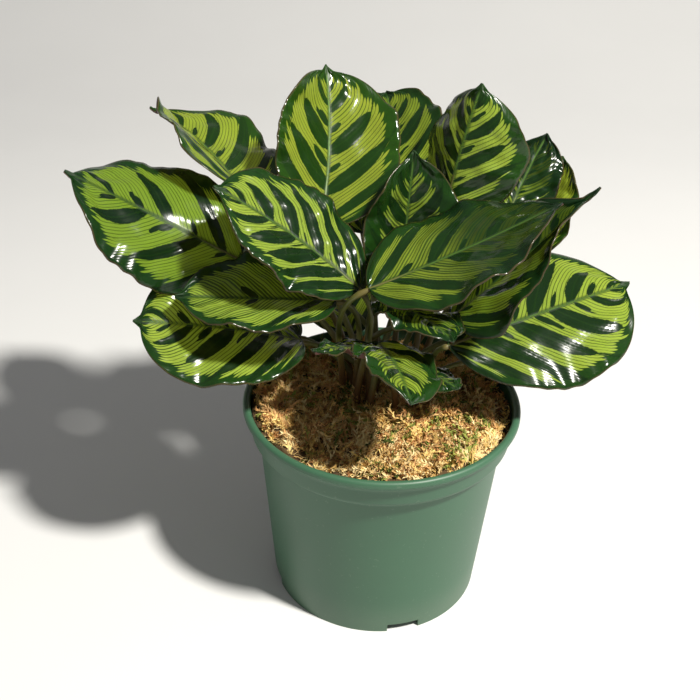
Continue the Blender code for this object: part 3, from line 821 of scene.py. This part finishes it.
def blade_relief(leaf, phase, share, across, sizes):
    """How far a point stands out of the folded blade: waves, swellings, bulges and ripples."""
    reach = abs(across)
    to_middle = 4.0 * reach * (1.0 - reach)
    to_ends = math.sin(math.pi * share)
    turn = phase + (0.0 if across >= 0.0 else WAVE_SHIFT)
    wave = math.sin(2.0 * math.pi * WAVES_PER_EDGE * share + turn)
    vein_foot = share - (VEIN_SLANT * reach + VEIN_CURVE * reach**VEIN_POWER)
    swellings = vein_foot * leaf.length * MM / sizes.quilt_pitch
    quilt = math.cos(2.0 * math.pi * swellings + turn)
    bulge = noise.noise(Vector((share * BULGES_ALONG, across * BULGES_ACROSS, phase)))
    ripple = noise.noise(Vector((share * RIPPLES_ALONG, turn, leaf.width)))
    edge = sizes.wave_height * reach**WAVE_POWER * wave
    edge += sizes.ripple_height * reach**RIPPLE_POWER * ripple
    return edge * to_ends + (sizes.quilt_height * quilt + sizes.bulge_height * bulge) * to_middle


def blade_point(leaf, phase, frames, share, across, sizes):
    """A point of the blade: share runs from joint to tip, across from -1 to 1."""
    point, side, up = frame_at(frames, share)
    width = half_width(leaf, share)
    furl = leaf.furl * share * min(1.0, (1.0 - share) / FURL_FADE)
    fold = math.radians(leaf.fold + furl)
    lateral = across * width * math.cos(fold)
    rise = abs(across) * width * math.sin(fold) + leaf.cup * width * across * across
    rise += blade_relief(leaf, phase, share, across, sizes)
    near = math.exp(-((lateral / MIDRIB_RELIEF_REACH) ** 2))
    rise += MIDRIB_RELIEF * near * (1.0 - share)
    return point + side * lateral + up * rise


def row_share(even):
    """Rows lie closer together at the joint and at the tip, where the outline bends."""
    crowded = (1.0 - math.cos(math.pi * even)) / 2.0
    return even + (crowded - even) * ROW_CROWDING


def build_blade(leaf, index, frames, sizes):
    """The blade as one sheet, which holds each point's place on the leaf and the leaf's look."""
    look = LOOKS.get(leaf.name, Look())
    seed = (index * SEED_STEP + SEED_START) % 1.0
    constants = look._asdict() | {"seed": seed, "span": leaf.length * MM}
    sheet = bmesh.new()
    names = ("share", "across", "half_width", *constants)
    layers = {name: sheet.verts.layers.float.new(name) for name in names}
    bmesh.ops.create_grid(sheet, x_segments=sizes.rows, y_segments=sizes.columns, size=1.0)
    for vertex in sheet.verts:
        share = row_share((vertex.co.x + 1.0) / 2.0)
        across = vertex.co.y * (MIDRIB_CROWDING + (1.0 - MIDRIB_CROWDING) * abs(vertex.co.y))
        place = {"share": share, "across": across, "half_width": half_width(leaf, share)}
        for name, value in (place | constants).items():
            vertex[layers[name]] = value
        vertex.co = blade_point(leaf, WAVE_TURN * index, frames, share, across, sizes)
    blade = link_piece(f"{leaf.name}_fine", mesh_of(sheet, leaf.name))
    solidify = blade.modifiers.new("thickness", "SOLIDIFY")
    solidify.thickness = sizes.thickness
    solidify.offset = 0.0
    solidify.material_offset = 1
    return blade


def cubic(points, share):
    """A point of the cubic curve with these four control points."""
    rest = 1.0 - share
    weights = (rest**3, 3 * share * rest**2, 3 * share**2 * rest, share**3)
    total = Vector((0.0, 0.0, 0.0))
    for weight, point in zip(weights, points):
        total += point * weight
    return total


def petiole_path(leaf, frames):
    """Points, radii and places from foot to tip of the stalk, which runs on as the rib."""
    x, y = crown_place(leaf)
    bend = Vector((x, y, PETIOLE_BEND))
    joint, forward, _, up = frames[0]
    chord = (joint - bend).length
    controls = (
        bend,
        bend + Vector((0.0, 0.0, leaf.rise * chord)),
        joint - forward * leaf.approach * chord,
        joint - up * MIDRIB_DEPTH,
    )
    path = [(Vector((x, y, PETIOLE_FOOT)), PETIOLE_RADIUS, 0.0)]
    for index in range(STALK_RINGS):
        share = index / (STALK_RINGS - 1)
        swell = math.exp(-(((share - PULVINUS_PLACE) / PULVINUS_SPAN) ** 2))
        radius = PETIOLE_RADIUS - PETIOLE_THINNING * share + PULVINUS_SWELL * swell
        path.append((cubic(controls, share), radius, share * STALK_SHARE))
    last_radius = path[-1][1]
    for index in range(1, RIB_RINGS + 1):
        share = RIB_REACH * index / RIB_RINGS
        point, _, up = frame_at(frames, share)
        radius = max(RIB_LEAST, last_radius * (1.0 - share / RIB_REACH) ** RIB_TAPER)
        depth = MIDRIB_DEPTH * (1.0 - RIB_RISE * share)
        path.append((point - up * depth, radius, STALK_SHARE + (1.0 - STALK_SHARE) * share))
    return path


def directions(points):
    """The direction of a line of points at each of them."""
    before = [points[0], *points[:-1]]
    after = [*points[1:], points[-1]]
    return [(end - start).normalized() for start, end in zip(before, after)]


def ring_points(point, first, second, radius, sides):
    """A ring of points around a point of a tube."""
    angles = [2.0 * math.pi * side / sides for side in range(sides)]
    return [point + turned(first, second, angle) * radius for angle in angles]


def tube_faces(rings, sides):
    """The faces between rings of points that follow each other."""
    faces = []
    for start in range(0, (rings - 1) * sides, sides):
        for side in range(sides):
            low = start + side
            low_after = start + (side + 1) % sides
            faces.append((low, low_after, low_after + sides, low + sides))
    return faces


def add_stalk(builder, path):
    """The stalk and rib: a tapered tube through the path, closed at both ends."""
    rise_layer = builder.verts.layers.float.new("rise")
    vertices = []
    across = Vector((1.0, 0.0, 0.0))
    for (point, radius, rise), forward in zip(path, directions([step[0] for step in path])):
        across = (across - forward * across.dot(forward)).normalized()
        for corner in ring_points(point, across, forward.cross(across), radius, STALK_SIDES):
            vertex = builder.verts.new(corner)
            vertex[rise_layer] = rise
            vertices.append(vertex)
    faces = [[vertices[corner] for corner in face] for face in tube_faces(len(path), STALK_SIDES)]
    faces.append(vertices[:STALK_SIDES][::-1])
    faces.append(vertices[-STALK_SIDES:])
    for corners in faces:
        builder.faces.new(corners).material_index = STALK_SLOT


def grow_leaf(leaf, index, sizes, materials):
    """One finished leaf: the blade with its thickness, and its stalk and rib."""
    frames = midrib_frames(leaf)
    blade = build_blade(leaf, index, frames, sizes)
    for material in materials:
        blade.data.materials.append(material)
    apply_modifiers(blade)
    builder = bmesh.new()
    builder.from_mesh(blade.data)
    add_stalk(builder, petiole_path(leaf, frames))
    builder.to_mesh(blade.data)
    builder.free()
    blade.data.shade_smooth()
    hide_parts(leaf.name)
    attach(blade, BODY)


def corner_round(profile, radius):
    """The profile with each corner between its ends replaced by a short curve."""
    points = [Vector(point) for point in profile]
    rounded = [points[0]]
    for before, corner, after in zip(points, points[1:], points[2:]):
        cut_before = min(radius, (before - corner).length * CORNER_SHARE)
        cut_after = min(radius, (after - corner).length * CORNER_SHARE)
        start = corner + (before - corner).normalized() * cut_before
        end = corner + (after - corner).normalized() * cut_after
        for step in range(CORNER_STEPS + 1):
            share = step / CORNER_STEPS
            rounded.append(start.lerp(corner, share).lerp(corner.lerp(end, share), share))
    rounded.append(points[-1])
    return rounded


def lip_profile(pot):
    """The half round top of the lip, from its inner to its outer side."""
    radius = pot.lip_width / 2.0
    profile = []
    for step in range(LIP_STEPS + 1):
        x, z = polar(radius, math.pi * (1.0 - step / LIP_STEPS))
        profile.append((pot.lip_radius - radius + x, pot.height - radius + z))
    return profile


def pot_profile(pot):
    """The pot's section, from the middle of its inner floor over the lip to its foot."""
    slope = (pot.body_top_radius - pot.base_radius) / pot.band_bottom
    raised = CHANNEL_TOP + POT_FLOOR
    inner_band = pot.band_bottom + pot.wall
    inside = [
        (0.0, POT_FLOOR),
        (CHANNEL_RADIUS - POT_FLOOR, POT_FLOOR),
        (CHANNEL_RADIUS - POT_FLOOR, raised),
        (pot.base_radius + slope * raised - pot.wall, raised),
        (pot.body_top_radius - pot.wall, inner_band),
        (pot.band_radius - pot.wall, inner_band),
    ]
    lip_bottom = pot.height - pot.lip_height
    upper = [
        (pot.lip_radius, lip_bottom),
        (pot.band_radius, lip_bottom - pot.flare),
        (pot.band_foot_radius, pot.band_bottom),
        (pot.body_top_radius - slope * pot.step_slant, pot.band_bottom - pot.step_slant),
        (pot.base_radius, 0.0),
    ]
    lower = [
        upper[-1],
        (pot.base_radius - FOOT_WIDTH, 0.0),
        (pot.base_radius - FOOT_WIDTH, CHANNEL_TOP),
        (CHANNEL_RADIUS, CHANNEL_TOP),
        (CHANNEL_RADIUS, 0.0),
        (0.0, 0.0),
    ]
    outside = corner_round(upper, BAND_ROUND) + corner_round(lower, FOOT_ROUND)[1:]
    return corner_round(inside, INNER_ROUND) + lip_profile(pot) + outside


def turn_profile(name, profile, steps):
    """A piece turned about the upright axis from a section of radii and heights."""
    mesh = bpy.data.meshes.new(name)
    edges = [(index, index + 1) for index in range(len(profile) - 1)]
    mesh.from_pydata([(radius, 0.0, height) for radius, height in profile], edges, [])
    obj = link_piece(name, mesh)
    screw = obj.modifiers.new("turn", "SCREW")
    screw.steps = steps
    screw.render_steps = steps
    screw.use_merge_vertices = True
    screw.merge_threshold = MERGE_DISTANCE
    apply_modifiers(obj)
    return obj


def cut_box(obj, centre, size, angle, name):
    """Cuts a turned box out of a piece."""
    builder = bmesh.new()
    bmesh.ops.create_cube(builder, size=1.0)
    placing = Matrix.Translation(centre) @ Matrix.Rotation(angle, 4, "Z")
    builder.transform(placing @ Matrix.Diagonal((*size, 1.0)))
    cutter = link_piece(name, mesh_of(builder, name))
    cut = obj.modifiers.new("cut", "BOOLEAN")
    cut.operation = "DIFFERENCE"
    cut.object = cutter
    cut.solver = "EXACT"
    apply_modifiers(obj)
    bpy.data.objects.remove(cutter, do_unlink=True)


def pot_material(colours):
    """Satin moulded plastic, dusty at its foot, with faint turned marks, scuffs and specks."""
    nodes = Nodes("moulded_green")
    height = nodes.add("ShaderNodeSeparateXYZ", inputs=(nodes.position(),), output="Z")
    cloud = nodes.noise(24.0, 4.0, 0.55)
    grain = nodes.noise(900.0, 2.0)
    scuffs = nodes.noise(90.0, place=nodes.vector(height * 3.0, cloud * 2.0, height))
    specks = nodes.noise(420.0, 2.0).above(0.70, 0.03)
    turned_marks = (height * TURNED_MARKS).wave() * 0.5 + 0.5
    low = 1.0 - nodes.ramp(height, 0.0, DUSTY_FOOT)
    base = colours.pot_green
    colour = nodes.paint(
        nodes.blend(cloud, times(base, 0.84), times(base, 1.10)),
        (low * cloud * 0.5, (0.16, 0.20, 0.15)),
        (specks * 0.10, (0.30, 0.36, 0.28)),
    )
    relief = grain * 0.5 + turned_marks * 0.12 + scuffs * 0.25
    return nodes.finish(nodes.shader(colour, 0.40 + cloud * 0.14, relief, 0.12, 0.3 * MM))


def mix_material():
    """Dark peat with paler crumbs."""
    nodes = Nodes("peat_mix")
    crumbs = nodes.noise(260.0, 5.0, 0.7)
    bits = nodes.noise(700.0, 2.0).above(0.66, 0.03)
    colour = nodes.paint((0.012, 0.008, 0.005), (crumbs, (0.075, 0.045, 0.025)),
                         (bits * 0.6, (0.28, 0.22, 0.15)))
    return nodes.finish(nodes.shader(colour, 0.95, crumbs, 0.9, 1.0 * MM))


def bed_material():
    """Matted moss under the sprigs, its brown kept near black as painted shade in the gaps between
    them.
    """
    nodes = Nodes("moss_bed")
    mat = nodes.noise(380.0, 5.0, 0.7)
    patch = nodes.noise(60.0, 2.0)
    # Partly painted shade: the near-black ground shows through the sparse hollows as the shade
    # between tufts.
    colour = nodes.paint((0.030, 0.012, 0.003), (mat, (0.16, 0.08, 0.03)),
                         (patch * 0.5, (0.05, 0.05, 0.02)))
    return nodes.finish(nodes.shader(colour, 0.95, mat, 1.0, 1.2 * MM))


def moss_material(kind):
    """One colour of dried moss, each sprig with its own shade."""
    nodes = Nodes(f"moss_{kind.name}")
    patch = nodes.noise(70.0, 2.0)
    mottle = nodes.noise(900.0, 2.0)
    amount = nodes.attribute("shade") * 0.7 + patch * 0.3
    colour = nodes.paint(
        kind.dark,
        (amount.above(0.22, 0.22), kind.middle),
        (amount.above(0.52, 0.25), kind.light),
        (mottle * 0.18, kind.dark),
    )
    return nodes.finish(nodes.shader(colour, 0.85, mottle, 0.5, 0.3 * MM))


def moss_kinds(gold):
    """The four colours of moss, the first of them around the chosen gold."""
    dark_gold = times(gold, 0.35)
    return (
        MossKind("golden", 0.0, -0.06, 11, 1.0, dark_gold, gold, (0.92, 0.68, 0.25)),
        MossKind("cream", 3.1, 0.02, 12, 1.0, (0.36, 0.20, 0.06), (0.76, 0.53, 0.21),
                 (0.93, 0.76, 0.40)),
        MossKind("brown", 6.7, 0.0, 13, 1.0, (0.16, 0.060, 0.014), (0.54, 0.27, 0.09),
                 (0.78, 0.48, 0.20)),
        MossKind("green", 9.4, 0.26, 14, 0.4, (0.045, 0.07, 0.010), (0.17, 0.22, 0.030),
                 (0.40, 0.44, 0.09)),
    )


def fine_lumps(x, y):
    """The smaller hollows and tufts between the big lumps."""
    place = Vector((x, y, 0.0)) / FINE_LUMP_SIZE
    return noise.fractal(place, *FINE_LUMP_LEVELS) * FINE_LUMP_HEIGHT


def moss_height(moss, x, y):
    """Height of the moss at a place: a low lumpy dome, lower to the right and the back."""
    share = min(1.0, math.hypot(x, y) / MOSS_REACH)
    dome = moss.dome * (1.0 - share * share)
    lumps = noise.noise(Vector((x, y, 0.0)) / moss.lump_size) * moss.lump
    lumps *= 1.0 - LUMP_FADE * share
    slope = MOSS_SLOPE.x * x + MOSS_SLOPE.y * y
    return moss.edge_height + dome + lumps + slope + fine_lumps(x, y)


def build_bed(moss):
    """The matted layer of the moss that the sprigs stand on, with its side and underside."""
    profile = [(MOSS_REACH * ring / BED_RINGS, moss.edge_height) for ring in range(BED_RINGS + 1)]
    profile.append((MOSS_REACH, BED_SHOULDER))
    profile.append((BED_NECK_RADIUS, BED_SHOULDER))
    profile.append((BED_FOOT_RADIUS, BED_BOTTOM))
    profile.append((0.0, BED_BOTTOM))
    bed = turn_profile("moss_bed", profile, BED_STEPS)
    for vertex in bed.data.vertices:
        if vertex.co.z > BED_SHOULDER + BED_TOP_MARGIN:
            vertex.co.z = moss_height(moss, vertex.co.x, vertex.co.y)
    bed.data.shade_smooth()
    bed.data.materials.append(bed_material())
    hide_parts("moss_top")
    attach(bed, BODY)


class MeshLists:
    """Points, faces and shades of a piece that is made of many small ones."""

    def __init__(self):
        self.points = []
        self.faces = []
        self.shades = []

    def add(self, points, faces, shade):
        start = len(self.points)
        self.points.extend(points)
        self.faces.extend(tuple(start + corner for corner in face) for face in faces)
        self.shades.extend([shade] * len(points))

    def finish(self, name, material):
        mesh = bpy.data.meshes.new(name)
        mesh.from_pydata(self.points, [], self.faces)
        shade = mesh.attributes.new("shade", "FLOAT", "POINT")
        shade.data.foreach_set("value", self.shades)
        mesh.materials.append(material)
        obj = link_piece(name, mesh)
        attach(obj, BODY)


def keep_in_pot(point):
    """A point of the moss, moved in from the pot's wall where it would pass through."""
    reach = math.hypot(point.x, point.y)
    if reach <= MOSS_REACH:
        return point
    scale = MOSS_REACH / reach
    return Vector((point.x * scale, point.y * scale, point.z))


def add_fibre(lists, points, radius, shade):
    """A tapering fibre with a few sides through its points."""
    corners = []
    for index, (point, forward) in enumerate(zip(points, directions(points))):
        side = forward.cross(FIBRE_UPRIGHT).normalized()
        width = radius * (1.0 - FIBRE_TAPER * index / (len(points) - 1))
        ring = ring_points(point, side, side.cross(forward), width, FIBRE_SIDES)
        corners.extend(keep_in_pot(corner) for corner in ring)
    lists.add(corners, tube_faces(len(points), FIBRE_SIDES), shade)


def add_leaflet(lists, root, forward, side, length, shade):
    """A small pointed moss leaf, folded along its middle."""
    up = side.cross(forward)
    width = length * LEAFLET_WIDTH
    middle = root + forward * length * LEAFLET_MIDDLE - up * width * LEAFLET_FOLD
    tip = root + forward * length + up * length * LEAFLET_RISE
    corners = (root, middle + side * width, tip, middle - side * width)
    if all(math.hypot(point.x, point.y) < MOSS_REACH for point in corners):
        lists.add(corners, [(0, 2, 1), (0, 3, 2)], shade)


def clamped(value):
    return min(1.0, max(0.0, value))


def sprig_points(moss, x, y, heading, draw):
    """The curved line of a moss shoot, turned back where it would reach the wall."""
    length = draw.uniform(*SPRIG_LENGTHS) * MM
    lift = draw.uniform(*SPRIG_LIFTS)
    turn = draw.uniform(-SPRIG_TURN, SPRIG_TURN)
    step_x, step_y = polar(length, heading)
    if math.hypot(x + step_x, y + step_y) > MOSS_REACH - WALL_CLEARANCE:
        heading += math.pi
    points = []
    for step in range(SPRIG_STEPS):
        share = step / (SPRIG_STEPS - 1)
        step_x, step_y = polar(length * share, heading + turn * share)
        place = (x + step_x, y + step_y)
        rise = lift * length * share**SPRIG_ARCH + SPRIG_CLEARANCE
        points.append(Vector((*place, moss_height(moss, *place) + rise)))
    return points


def add_sprig(lists, moss, x, y, heading, draw):
    """A curved moss shoot with its small leaves all round."""
    points = sprig_points(moss, x, y, heading, draw)
    tuft = noise.noise(Vector((x, y, TUFT_LAYER)) / TUFT_SIZE) * TUFT_CONTRAST
    shade = clamped(0.5 + tuft + draw.uniform(-SHADE_SPREAD, SHADE_SPREAD))
    add_fibre(lists, points, SPRIG_RADIUS, shade * SPRIG_STEM_SHADE)
    for index in range(SPRIG_LEAVES):
        share = (index + 0.5) / SPRIG_LEAVES
        position = share * (SPRIG_STEPS - 1)
        low = int(position)
        root = points[low].lerp(points[low + 1], position - low)
        forward = (points[low + 1] - points[low]).normalized()
        side = forward.cross(LEAFLET_UPRIGHT).normalized()
        out = turned(side, side.cross(forward), draw.uniform(0.0, 2.0 * math.pi))
        reach = (forward + out * draw.uniform(*LEAFLET_SPREADS)).normalized()
        size = draw.uniform(*LEAFLET_LENGTHS) * MM * (1.0 - LEAFLET_SHORTENING * share)
        tone = clamped(shade + draw.uniform(-SHADE_SPREAD, SHADE_SPREAD))
        add_leaflet(lists, root, reach, reach.cross(out).normalized(), size, tone)


def draw_place(draw):
    """A random place on the moss, kept clear of the wall."""
    reach = (MOSS_REACH - PLACE_CLEARANCE) * math.sqrt(draw.random())
    return polar(reach, draw.uniform(0.0, 2.0 * math.pi))


def colour_patch(x, y, shift):
    """A slow change over the moss, which gathers its colours into patches."""
    return noise.noise(Vector((x, y, shift)) / PATCH_SIZE + Vector((shift, 0.0, 0.0)))


def flow_heading(x, y):
    """The direction in which moss shoots lie at a place: combed in tufts."""
    return noise.noise(Vector((x, y, COMB_LAYER)) / COMB_SIZE) * COMB_TURN


def grow_moss(moss, kind, material):
    """The sprigs of one colour, denser in that colour's patches and sparse in the hollows."""
    draw = random.Random(kind.seed)
    lists = MeshLists()
    count = 0
    while count < moss.sprigs * kind.amount:
        x, y = draw_place(draw)
        blur = draw.uniform(-PATCH_BLUR, PATCH_BLUR)
        if colour_patch(x, y, kind.shift) + blur < kind.threshold:
            continue
        if fine_lumps(x, y) < HOLLOW_DEPTH and draw.random() < HOLLOW_BARENESS:
            continue
        add_sprig(lists, moss, x, y, flow_heading(x, y) + draw.gauss(0.0, SPRIG_SCATTER), draw)
        count += 1
    lists.finish(f"moss_sprigs_{kind.name}", material)


def grow_strands(moss, material):
    """Long dry fibres that curl over the moss."""
    draw = random.Random(STRAND_SEED)
    lists = MeshLists()
    for _ in range(moss.strands):
        x, y = draw_place(draw)
        heading = flow_heading(x, y) + draw.gauss(0.0, STRAND_SCATTER)
        length = draw.uniform(*STRAND_LENGTHS) * MM
        bend = draw.uniform(-STRAND_BEND, STRAND_BEND)
        points = []
        for step in range(STRAND_STEPS):
            share = step / (STRAND_STEPS - 1)
            arch = math.sin(math.pi * share) * draw.uniform(*STRAND_ARCHES) * MM
            points.append(Vector((x, y, moss_height(moss, x, y) + STRAND_CLEARANCE + arch)))
            step_x, step_y = polar(length / STRAND_STEPS, heading + bend * share)
            x += step_x
            y += step_y
        add_fibre(lists, points, draw.uniform(*STRAND_RADII) * MM, draw.random())
    lists.finish("moss_strands", material)


def add_lamp(lamp):
    """A round soft light that shines at the plant."""
    light = bpy.data.lights.new(lamp.name, "AREA")
    light.shape = "DISK"
    light.size = lamp.size
    light.energy = lamp.power
    light.color = lamp.colour
    obj = link_piece(lamp.name, light)
    obj.location = lamp.place
    direction = Vector(LIGHT_TARGET) - obj.location
    obj.rotation_euler = direction.to_track_quat("-Z", "Y").to_euler()


def add_camera():
    """The photograph's view: from in front and above, turned and rolled a little."""
    elevation = math.radians(CAMERA_ELEVATION)
    target = Vector((0.0, 0.0, CAMERA_TARGET_HEIGHT))
    back = Vector((0.0, -math.cos(elevation), math.sin(elevation)))
    turning = (
        Matrix.Rotation(math.radians(90.0 - CAMERA_ELEVATION), 4, "X")
        @ Matrix.Rotation(math.radians(-CAMERA_YAW), 4, "Y")
        @ Matrix.Rotation(math.radians(CAMERA_PITCH), 4, "X")
        @ Matrix.Rotation(math.radians(CAMERA_ROLL), 4, "Z")
    )
    camera = bpy.data.cameras.new("camera")
    camera.lens = CAMERA_LENS
    camera.sensor_width = CAMERA_SENSOR
    camera.clip_start = CAMERA_NEAREST
    obj = link_piece("camera", camera)
    obj.matrix_world = Matrix.Translation(target + back * CAMERA_DISTANCE) @ turning
    bpy.context.scene.camera = obj


def add_floor():
    """A plain pale floor that curves up behind the plant."""
    builder = bmesh.new()
    bmesh.ops.create_grid(builder, x_segments=8, y_segments=48, size=1.0)
    for vertex in builder.verts:
        depth = vertex.co.y * FLOOR_REACH
        behind = max(0.0, depth - FLOOR_FLAT)
        height = behind * behind / (FLOOR_REACH - FLOOR_FLAT) * FLOOR_RISE
        vertex.co = (vertex.co.x * FLOOR_REACH, depth, height)
    mesh = mesh_of(builder, "floor")
    mesh.shade_smooth()
    nodes = Nodes("pale_floor")
    speckle = nodes.noise(8.0, 2.0)
    colour = nodes.blend(speckle, (0.67, 0.67, 0.67), (0.70, 0.70, 0.70))
    mesh.materials.append(nodes.finish(nodes.shader(colour, 0.9)))
    link_piece("floor", mesh)


def set_world():
    world = bpy.data.worlds.new("studio")
    world.use_nodes = True
    background = world.node_tree.nodes["Background"]
    background.inputs["Color"].default_value = (1.0, 1.0, 1.0, 1.0)
    background.inputs["Strength"].default_value = WORLD_STRENGTH
    bpy.context.scene.world = world


class CALATHEA_OT_pot(bpy.types.Operator):
    """Turn the nursery pot and cut its drain notches"""

    bl_idname = "calathea.pot"
    bl_label = "Build the pot"

    def execute(self, context):
        sizes = context.scene.calathea_pot
        pot = turn_profile("nursery_pot", pot_profile(sizes), sizes.turn_steps)
        for index in range(NOTCH_COUNT):
            angle = sizes.notch_angle + index * 2.0 * math.pi / NOTCH_COUNT
            centre = Vector((*polar(NOTCH_CENTRE, angle), 0.0))
            size = (NOTCH_DEPTH, sizes.notch_width, sizes.notch_height * 2.0)
            cut_box(pot, centre, size, angle, f"notch_{index}")
        pot.data.materials.clear()
        pot.data.materials.append(pot_material(context.scene.calathea_colours))
        pot.data.shade_smooth()
        pot.data.set_sharp_from_angle(angle=SHARP_ANGLE)
        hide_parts("pot")
        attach(pot, BODY)
        return {"FINISHED"}


class CALATHEA_OT_mix(bpy.types.Operator):
    """Give the potting mix its dark peat finish"""

    bl_idname = "calathea.mix"
    bl_label = "Finish the potting mix"

    def execute(self, context):
        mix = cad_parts["potting_mix"]
        mix.data.materials.clear()
        mix.data.materials.append(mix_material())
        return {"FINISHED"}


class CALATHEA_OT_moss(bpy.types.Operator):
    """Lay the moss: a matted bed, sprigs in four colours and loose strands"""

    bl_idname = "calathea.moss"
    bl_label = "Lay the moss"

    def execute(self, context):
        moss = context.scene.calathea_moss
        build_bed(moss)
        materials = {}
        for kind in moss_kinds(context.scene.calathea_colours.moss_gold):
            materials[kind.name] = moss_material(kind)
            grow_moss(moss, kind, materials[kind.name])
        grow_strands(moss, materials["cream"])
        return {"FINISHED"}


class CALATHEA_OT_leaves(bpy.types.Operator):
    """Grow every leaf with its stalk, its veins and its markings"""

    bl_idname = "calathea.leaves"
    bl_label = "Grow the leaves"

    def execute(self, context):
        sizes = context.scene.calathea_leaf
        colours = context.scene.calathea_colours
        face = leaf_face_material(colours, sizes)
        back = leaf_back_material(colours, sizes)
        stalk = stalk_material(colours)
        for index, leaf in enumerate(LEAVES):
            grow_leaf(leaf, index, sizes, (face, back, stalk))
        return {"FINISHED"}


class CALATHEA_OT_stage(bpy.types.Operator):
    """Set up the pale floor, the studio lights and the camera"""

    bl_idname = "calathea.stage"
    bl_label = "Set the stage"

    def execute(self, context):
        add_floor()
        add_camera()
        set_world()
        for lamp in LAMPS:
            add_lamp(lamp)
        context.scene.view_settings.view_transform = "Standard"
        return {"FINISHED"}


class CALATHEA_PT_panel(bpy.types.Panel):
    bl_idname = "CALATHEA_PT_panel"
    bl_label = "Potted Calathea"
    bl_space_type = "VIEW_3D"
    bl_region_type = "UI"
    bl_category = "Calathea"

    def draw(self, context):
        for operator in OPERATORS:
            self.layout.operator(operator.bl_idname)
        for group in GROUPS:
            box = self.layout.box()
            settings = getattr(context.scene, group)
            for key in settings.__annotations__:
                box.prop(settings, key)


GROUPS = {
    "calathea_pot": PotSizes,
    "calathea_leaf": LeafSizes,
    "calathea_moss": MossSizes,
    "calathea_colours": FinishColours,
}
OPERATORS = (
    CALATHEA_OT_pot,
    CALATHEA_OT_mix,
    CALATHEA_OT_moss,
    CALATHEA_OT_leaves,
    CALATHEA_OT_stage,
)


def register():
    for name, group in GROUPS.items():
        bpy.utils.register_class(group)
        setattr(bpy.types.Scene, name, bpy.props.PointerProperty(type=group))
    for operator in OPERATORS:
        bpy.utils.register_class(operator)
    bpy.utils.register_class(CALATHEA_PT_panel)


def unregister():
    bpy.utils.unregister_class(CALATHEA_PT_panel)
    for operator in reversed(OPERATORS):
        bpy.utils.unregister_class(operator)
    for name, group in GROUPS.items():
        delattr(bpy.types.Scene, name)
        bpy.utils.unregister_class(group)


def main():
    register()
    bpy.ops.calathea.pot()
    bpy.ops.calathea.mix()
    bpy.ops.calathea.moss()
    bpy.ops.calathea.leaves()
    bpy.ops.calathea.stage()


if __name__ == "__main__":
    main()
